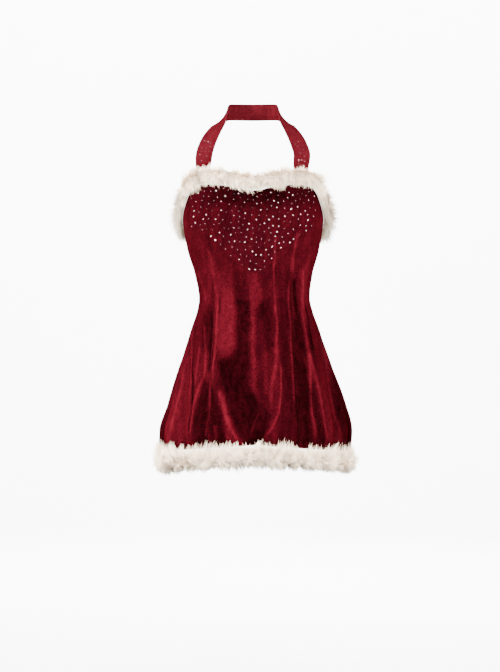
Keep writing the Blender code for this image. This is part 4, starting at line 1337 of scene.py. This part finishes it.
def finish_tree(tree, geometry, material, result):
    """End a tree with one real mesh in its material."""
    real = add_node(tree, "GeometryNodeRealizeInstances", (940, 200), {"Geometry": geometry})
    inputs = {"Geometry": real.outputs["Geometry"], "Material": material}
    painted = add_node(tree, "GeometryNodeSetMaterial", (1100, 200), inputs)
    add_node(tree, "NodeGroupOutput", (1260, 200), {result: painted.outputs["Geometry"]})


def fur_tree():
    """Geometry Nodes that grow locks of hair on a core, leaning along its comb and parting in tufts."""
    tree, given = new_tree("fur_pile", {
        "Core": "Geometry", "Lock": "Object", "Density": "Float", "Length": "Float", "Width": "Float",
        "Lean": "Float", "Ruffle": "Float", "Tufts": "Float", "Seed": "Int", "Material": "Material",
    }, "Fur")  # fmt: skip
    seed = given["Seed"]
    out = named(tree, "out", "FLOAT_VECTOR", (-1100, -1000))
    comb = named(tree, "comb", "FLOAT_VECTOR", (-1100, -200))
    reach = named(tree, "reach", "FLOAT", (-1100, -400))

    def vector_math(operation, first, second, place):
        """Vector made of two vectors, or of a vector and its scale."""
        inputs = {0: first, "Scale" if operation == "SCALE" else 1: second}
        return add_node(tree, "ShaderNodeVectorMath", place, inputs, operation=operation).outputs["Vector"]

    def kept_off(vector, least, place):
        """The vector, turned out where it would lean into the cloth."""
        x, y = place
        inputs = {0: vector, 1: out}
        along = add_node(tree, "ShaderNodeVectorMath", place, inputs, operation="DOT_PRODUCT")
        lacking = math_node(tree, "MULTIPLY_ADD", along.outputs["Value"], -1.0, (x + 140, y), least)
        lacking = math_node(tree, "MAXIMUM", lacking, 0.0, (x + 280, y))
        return vector_math("ADD", vector, vector_math("SCALE", out, lacking, (x + 420, y)), (x + 560, y))

    def cloud(scale, place):
        """Noise at each place on the core."""
        inputs = {"Vector": where, "Scale": scale, "Detail": TUFT_DETAIL}
        return add_node(tree, "ShaderNodeTexNoise", place, inputs).outputs

    grows = math_node(tree, "GREATER_THAN", reach, GROWS_FROM, (-1300, 300))
    density = math_node(tree, "MULTIPLY", grows, given["Density"], (-1200, 300))
    inputs = {"Mesh": given["Core"], "Density": density, "Seed": seed}
    scatter = add_node(tree, "GeometryNodeDistributePointsOnFaces", (-1100, 200), inputs)
    where = add_node(tree, "GeometryNodeInputPosition", (-1100, -600)).outputs["Position"]
    tufts = cloud(given["Tufts"], (-900, -600))
    parted = vector_math("SUBTRACT", tufts["Color"], (0.5, 0.5, 0.5), (-700, -600))
    parted = vector_math("SCALE", parted, given["Ruffle"], (-540, -600))
    leaning = vector_math("SCALE", comb, given["Lean"], (-700, -200))
    way = vector_math("ADD", scatter.outputs["Normal"], leaning, (-380, -100))
    way = vector_math("ADD", way, parted, (-220, -200))
    own = random_value(tree, (-OWN_LEAN,) * 3, (OWN_LEAN,) * 3, seed, (-380, -400))
    way = kept_off(vector_math("ADD", way, own, (-60, -200)), LEAST_OUT, (-60, -1200))
    way = add_node(tree, "ShaderNodeVectorMath", (80, -200), {0: way}, operation="NORMALIZE")
    inputs = {"Vector": way.outputs["Vector"]}
    stand = add_node(tree, "FunctionNodeAlignRotationToVector", (240, -200), inputs, axis="Z")
    bent = kept_off(vector_math("ADD", comb, parted, (240, -420)), 0.0, (-60, -1400))
    inputs = {"Rotation": stand.outputs["Rotation"], "Vector": bent}
    face = add_node(tree, "FunctionNodeAlignRotationToVector", (400, -200), inputs, axis="X", pivot_axis="Z")
    length = math_node(tree, "MULTIPLY", reach, given["Length"], (-60, -600))
    vary = random_value(tree, *LOCK_LENGTHS, seed, (-380, -800))
    length = math_node(tree, "MULTIPLY", length, vary, (100, -600))
    tuft = math_node(tree, "MULTIPLY_ADD", tufts["Fac"], TUFT_LENGTH, (100, -760), TUFT_BASE)
    length = math_node(tree, "MULTIPLY", length, tuft, (180, -600))
    width_seed = math_node(tree, "ADD", seed, WIDTH_SEED, (-540, -960))
    width = random_value(tree, *LOCK_WIDTHS, width_seed, (-380, -960))
    width = math_node(tree, "MULTIPLY", width, given["Width"], (-220, -960))
    size = add_node(tree, "ShaderNodeCombineXYZ", (260, -600), {"X": length, "Y": width, "Z": length})
    # Painted shade that differs from clump to clump, times the core's painted shade.
    clump = math_node(tree, "MULTIPLY_ADD", cloud(CLUMPS, (-900, -900))["Fac"], CLUMP_SHADE, (-700, -900),
                      MEAN_SHADE - CLUMP_SHADE / 2, clamp=True)
    shade = math_node(tree, "MULTIPLY", clump, named(tree, "shade", "FLOAT", (-700, -1100)), (-540, -900))
    inputs = {"Geometry": scatter.outputs["Points"], "Name": "shade", "Value": shade}
    shaded = add_node(tree, "GeometryNodeStoreNamedAttribute", (420, 300), inputs,
                      data_type="FLOAT", domain="POINT")
    locks = plant(tree, shaded.outputs["Geometry"], given["Lock"], face.outputs["Rotation"],
                  size.outputs["Vector"])
    join = add_node(tree, "GeometryNodeJoinGeometry", (780, 200), {"Geometry": locks})
    feed(tree, join.inputs["Geometry"], given["Core"])
    finish_tree(tree, join.outputs["Geometry"], given["Material"], "Fur")
    return tree


def run_tree(obj, tree, values):
    """Run a Geometry Nodes tree on an object and keep its result as a plain mesh."""
    modifier = obj.modifiers.new(tree.name, "NODES")
    modifier.node_group = tree
    for item in tree.interface.items_tree:
        if item.item_type == "SOCKET" and item.in_out == "INPUT" and item.name in values:
            modifier[item.identifier] = values[item.name]
    return apply_modifiers(obj)


def make_fur(trim, look, tree, lock):
    """The pile of one trim, in several stretches, each with its stretch of core."""
    angles = fur_places(trim)
    grids = dict(zip(("place", "comb", "out", "reach", "shade"), fur_core(trim, angles)))
    per_part = trim.columns // trim.parts
    made = []
    for part in range(trim.parts):
        picked = np.arange(part * per_part, (part + 1) * per_part + 1) % len(angles)
        stretch = {name: round_again(grid[picked]) for name, grid in grids.items()}
        points = stretch.pop("place")
        faces = grid_faces(*points.shape[:2])[:, :: 1 if trim is HEM_TRIM else -1]
        obj = add_mesh(f"{trim.pile}_{part + 1}", points.reshape(-1, 3), faces, ())
        for name, values in stretch.items():
            paint(obj, name, values)
        paint(obj, "tip", np.full(stretch["reach"].shape, CORE_TIP))
        run_tree(obj, tree, {
            "Lock": lock, "Density": look.fur_density, "Length": look.fur_length, "Width": look.fur_width,
            "Lean": look.fur_lean, "Ruffle": look.fur_ruffle, "Tufts": TUFTS, "Seed": look.fur_seed + part,
            "Material": material_of("white_fur"),
        })  # fmt: skip
        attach(obj, "dress")
        made.append(obj)
    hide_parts(trim.node)
    return made


def make_backing(trim):
    """The fur's woven backing, a thin strip on the cloth along its edge."""
    ring = trim is HEM_TRIM
    angles = fur_places(trim)
    edge = edge_drop(trim.edge, angles)
    rows = []
    for share in np.linspace(0, 1, BACKING_COLUMNS):
        drops = edge - trim.band * share if ring else edge + trim.band * share
        rows.append(plain_cloth(angles, drops) + outward(body, angles, drops) * BACKING_OUT)
    points = np.stack(rows, axis=1)
    faces = grid_faces(*points.shape[:2], ring=ring)[:, :: 1 if ring else -1]
    obj = add_mesh(trim.backing, points.reshape(-1, 3), faces, ("fur_backing",))
    turn_outward(obj)
    thicken(obj, BACKING_THICK, back=0)
    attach(obj, "dress")
    return obj


class DRESS_OT_fur(Operator):
    """Make the fur trims of the neckline and the hem"""

    bl_idname = "dress.fur"
    bl_label = "Fur Trims"

    def execute(self, context):
        look = context.scene.dress_look
        lock = strand_mesh()
        tree = fur_tree()
        top = make_fur(TOP_TRIM, look, tree, lock)
        hem = make_fur(HEM_TRIM, look, tree, lock)
        bpy.data.objects.remove(lock)
        top_backing, hem_backing = make_backing(TOP_TRIM), make_backing(HEM_TRIM)
        return {"FINISHED"}


def stone_spots(look):
    """Seeded scatter of rhinestones over the bust, with at least the least spacing between them."""
    rng = np.random.default_rng(STONE_SEED)
    spots = []
    for _ in range(STONE_TRIES):
        x, drop = rng.uniform(*STONES_X), rng.uniform(*STONES_DROP)
        if drop > smooth_curve(column(STONE_EDGE, "x"), column(STONE_EDGE, "lowest"), x):
            continue
        spacing = look.stone_spacing * rng.uniform(*STONE_SPREAD)
        if any(math.hypot(x - a, drop - b) < spacing for a, b in spots):
            continue
        spots.append((x, drop))
    x, drops = np.array(spots).T
    angles = angle_of(x, drops)
    kept = drops > edge_drop(TOP_EDGE, angles) + STONES_BELOW_EDGE
    return angles[kept], drops[kept], rng


def gem_mesh():
    """Flat-backed faceted stone, one unit wide: a table, a ring of facets and a girdle."""
    sides = GEM_SIDES
    points = []
    for ring in GEM:
        for i in range(sides):
            angle = 2 * math.pi * (i + ring.turn) / sides
            points.append((ring.radius * math.cos(angle), ring.radius * math.sin(angle), ring.height))
    faces = [tuple(range(sides))[::-1], tuple(range(2 * sides, 3 * sides))]
    for i in range(sides):
        j = (i + 1) % sides
        faces.append((i, j, sides + j, sides + i))
        faces.append((sides + i, sides + j, 2 * sides + i))
        faces.append((sides + j, 2 * sides + j, 2 * sides + i))
    mesh = bpy.data.meshes.new("stone")
    mesh.from_pydata(points, [], faces)
    return bpy.data.objects.new("stone", mesh)


def stone_tree():
    """Geometry Nodes that set a stone on each point, facing out."""
    inputs = {"Spots": "Geometry", "Stone": "Object", "Seed": "Int", "Material": "Material"}
    tree, given = new_tree("rhinestones", inputs, "Stones")
    inputs = {"Vector": named(tree, "facing", "FLOAT_VECTOR", (-700, -200))}
    stand = add_node(tree, "FunctionNodeAlignRotationToVector", (-400, -200), inputs, axis="Z")
    turn = random_value(tree, *STONE_TURNS, given["Seed"], (-400, -500))
    inputs = {"Rotation": stand.outputs["Rotation"], "Rotate By": turn}
    rotate = add_node(tree, "FunctionNodeRotateRotation", (-200, -300), inputs, rotation_space="LOCAL")
    size = named(tree, "size", "FLOAT", (-700, -400))
    stones = plant(tree, given["Spots"], given["Stone"], rotate.outputs["Rotation"], size)
    finish_tree(tree, stones, given["Material"], "Stones")
    return tree


def set_stones(name, spots, tree, stone, seed):
    """Set stones on spots: their places, the ways they face, their sizes and how bright their painted glint
    is.
    """
    places, *others = spots
    obj = add_mesh(name, places, (), ())
    for label, values in zip(("facing", "size", "tone"), others):
        paint(obj, label, values)
    run_tree(obj, tree, {"Stone": stone, "Seed": seed, "Material": material_of("rhinestone")})
    obj.data.shade_flat()
    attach(obj, "dress")
    return obj


def strap_spots(side, rng):
    """Places and ways out of the stones on the lower end of one half of the strap."""
    inner, outer = strap_surface(side)
    low, high = (int(share * STRAP_ROWS) for share in STRAP_STONE_SHARES)
    first, end = STRAP_STONE_MARGIN, STRAP_ACROSS + 1 - STRAP_STONE_MARGIN
    picked = []
    for _ in range(STRAP_STONE_TRIES):
        row, across = int(rng.integers(low, high)), int(rng.integers(first, end))
        place = outer[row, across]
        if all(np.linalg.norm(place - other[0]) > STRAP_STONE_SPACING for other in picked):
            picked.append((place, unit(place - inner[row, across])))
    return tuple(np.array(v) for v in zip(*picked[:STRAP_STONES]))


class DRESS_OT_rhinestones(Operator):
    """Scatter rhinestones over the bust and the lower ends of the strap"""

    bl_idname = "dress.rhinestones"
    bl_label = "Rhinestones"

    def execute(self, context):
        look = context.scene.dress_look
        tree, stone = stone_tree(), gem_mesh()
        angles, drops, rng = stone_spots(look)
        places, facings = cloth(angles, drops), outward(cloth, angles, drops)
        count = len(places)
        large = rng.random(count) < LARGE_SHARE
        sizes = np.where(large, look.stone_large, look.stone_small) * rng.uniform(*STONE_SIZES, count)
        glints = np.where(large, rng.uniform(*LARGE_GLINTS, count), rng.uniform(*SMALL_GLINTS, count))
        set_stones("bust_rhinestones", (places, facings, sizes, glints), tree, stone, STONE_SEED)
        for side, name in ((1, "strap_rhinestones_left"), (-1, "strap_rhinestones_right")):
            places, facings = strap_spots(side, rng)
            large = rng.random(len(places)) < STRAP_LARGE_SHARE
            sizes = np.where(large, look.stone_large * STRAP_LARGE, look.stone_small * STRAP_SMALL)
            glints = rng.uniform(*STRAP_GLINTS, len(places))
            set_stones(name, (places, facings, sizes, glints), tree, stone, STONE_SEED + 1)
        bpy.data.objects.remove(stone)
        return {"FINISHED"}


class DRESS_OT_zip(Operator):
    """Finish the zip's slider and pull"""

    bl_idname = "dress.zip"
    bl_label = "Zip"

    def execute(self, context):
        for node in ("zip_slider", "zip_pull"):
            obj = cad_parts[node]
            obj.data.materials.clear()
            obj.data.materials.append(material_of("painted_zip"))
        return {"FINISHED"}


def add_light(light):
    data = bpy.data.lights.new(light.name, "AREA")
    data.shape = "RECTANGLE"
    data.size, data.size_y = light.size
    data.energy = light.power
    obj = bpy.data.objects.new(light.name, data)
    obj.location = light.place
    obj.rotation_euler = (Vector(light.target) - Vector(light.place)).to_track_quat("-Z", "Y").to_euler()
    bpy.context.scene.collection.objects.link(obj)


def backdrop_mesh():
    """Points and faces of a round floor that curves up into a wall."""
    outline = [(FLOOR_FLAT, 0.0), (STAGE_RADIUS - STAGE_CURVE, 0.0)]
    for i in range(1, CURVE_STEPS + 1):
        turn = math.pi / 2 * i / CURVE_STEPS
        outline.append((STAGE_RADIUS - STAGE_CURVE + STAGE_CURVE * math.sin(turn),
                        STAGE_CURVE * (1 - math.cos(turn))))
    outline.append((STAGE_RADIUS, STAGE_HEIGHT))
    points = [(0.0, 0.0, -FLOOR_DROP)]
    for radius, height in outline:
        for i in range(STAGE_SIDES):
            turn = 2 * math.pi * i / STAGE_SIDES
            points.append((radius * math.cos(turn), radius * math.sin(turn), height - FLOOR_DROP))
    faces = [(0, 1 + i, 1 + (i + 1) % STAGE_SIDES) for i in range(STAGE_SIDES)]
    for level in range(len(outline) - 1):
        for i in range(STAGE_SIDES):
            a, b = (1 + level * STAGE_SIDES + j % STAGE_SIDES for j in (i, i + 1))
            faces.append((a, a + STAGE_SIDES, b + STAGE_SIDES, b))
    return points, faces


class DRESS_OT_stage(Operator):
    """Make the pale floor and backdrop, the lights and the camera"""

    bl_idname = "dress.stage"
    bl_label = "Stage"

    def execute(self, context):
        floor = add_mesh("backdrop", *backdrop_mesh(), ("paper",))

        world = bpy.data.worlds.new("studio")
        world.use_nodes = True
        background = world.node_tree.nodes["Background"]
        background.inputs["Color"].default_value = (1.0, 1.0, 1.0, 1.0)
        background.inputs["Strength"].default_value = 1.0
        context.scene.world = world
        for light in LIGHTS:
            add_light(light)

        data = bpy.data.cameras.new("camera")
        data.lens, data.sensor_width, data.clip_end = LENS, SENSOR, CAMERA_REACH
        camera = bpy.data.objects.new("camera", data)
        camera.location = CAMERA_PLACE
        camera.rotation_euler = (math.pi / 2, 0.0, 0.0)
        context.scene.collection.objects.link(camera)
        context.scene.camera = camera
        return {"FINISHED"}


STEPS = (
    DRESS_OT_stage, DRESS_OT_velvet, DRESS_OT_straps, DRESS_OT_fur, DRESS_OT_rhinestones, DRESS_OT_zip,
)  # fmt: skip


class DRESS_PT_steps(Panel):
    """The dress's pieces and sizes"""

    bl_idname = "DRESS_PT_steps"
    bl_label = "Halter Mini Dress"
    bl_space_type = "VIEW_3D"
    bl_region_type = "UI"
    bl_category = "Dress"

    def draw(self, context):
        look = context.scene.dress_look
        for name in look.bl_rna.properties.keys():
            if name not in ("rna_type", "name"):
                self.layout.prop(look, name)
        for step in STEPS:
            self.layout.operator(step.bl_idname)


CLASSES = (DRESS_PG_look, *STEPS, DRESS_PT_steps)


def register():
    for cls in CLASSES:
        bpy.utils.register_class(cls)
    bpy.types.Scene.dress_look = PointerProperty(type=DRESS_PG_look)


def unregister():
    del bpy.types.Scene.dress_look
    for cls in reversed(CLASSES):
        bpy.utils.unregister_class(cls)


def main():
    register()
    bpy.ops.dress.stage()
    bpy.ops.dress.velvet()
    bpy.ops.dress.straps()
    bpy.ops.dress.fur()
    bpy.ops.dress.rhinestones()
    bpy.ops.dress.zip()


if __name__ == "__main__":
    main()
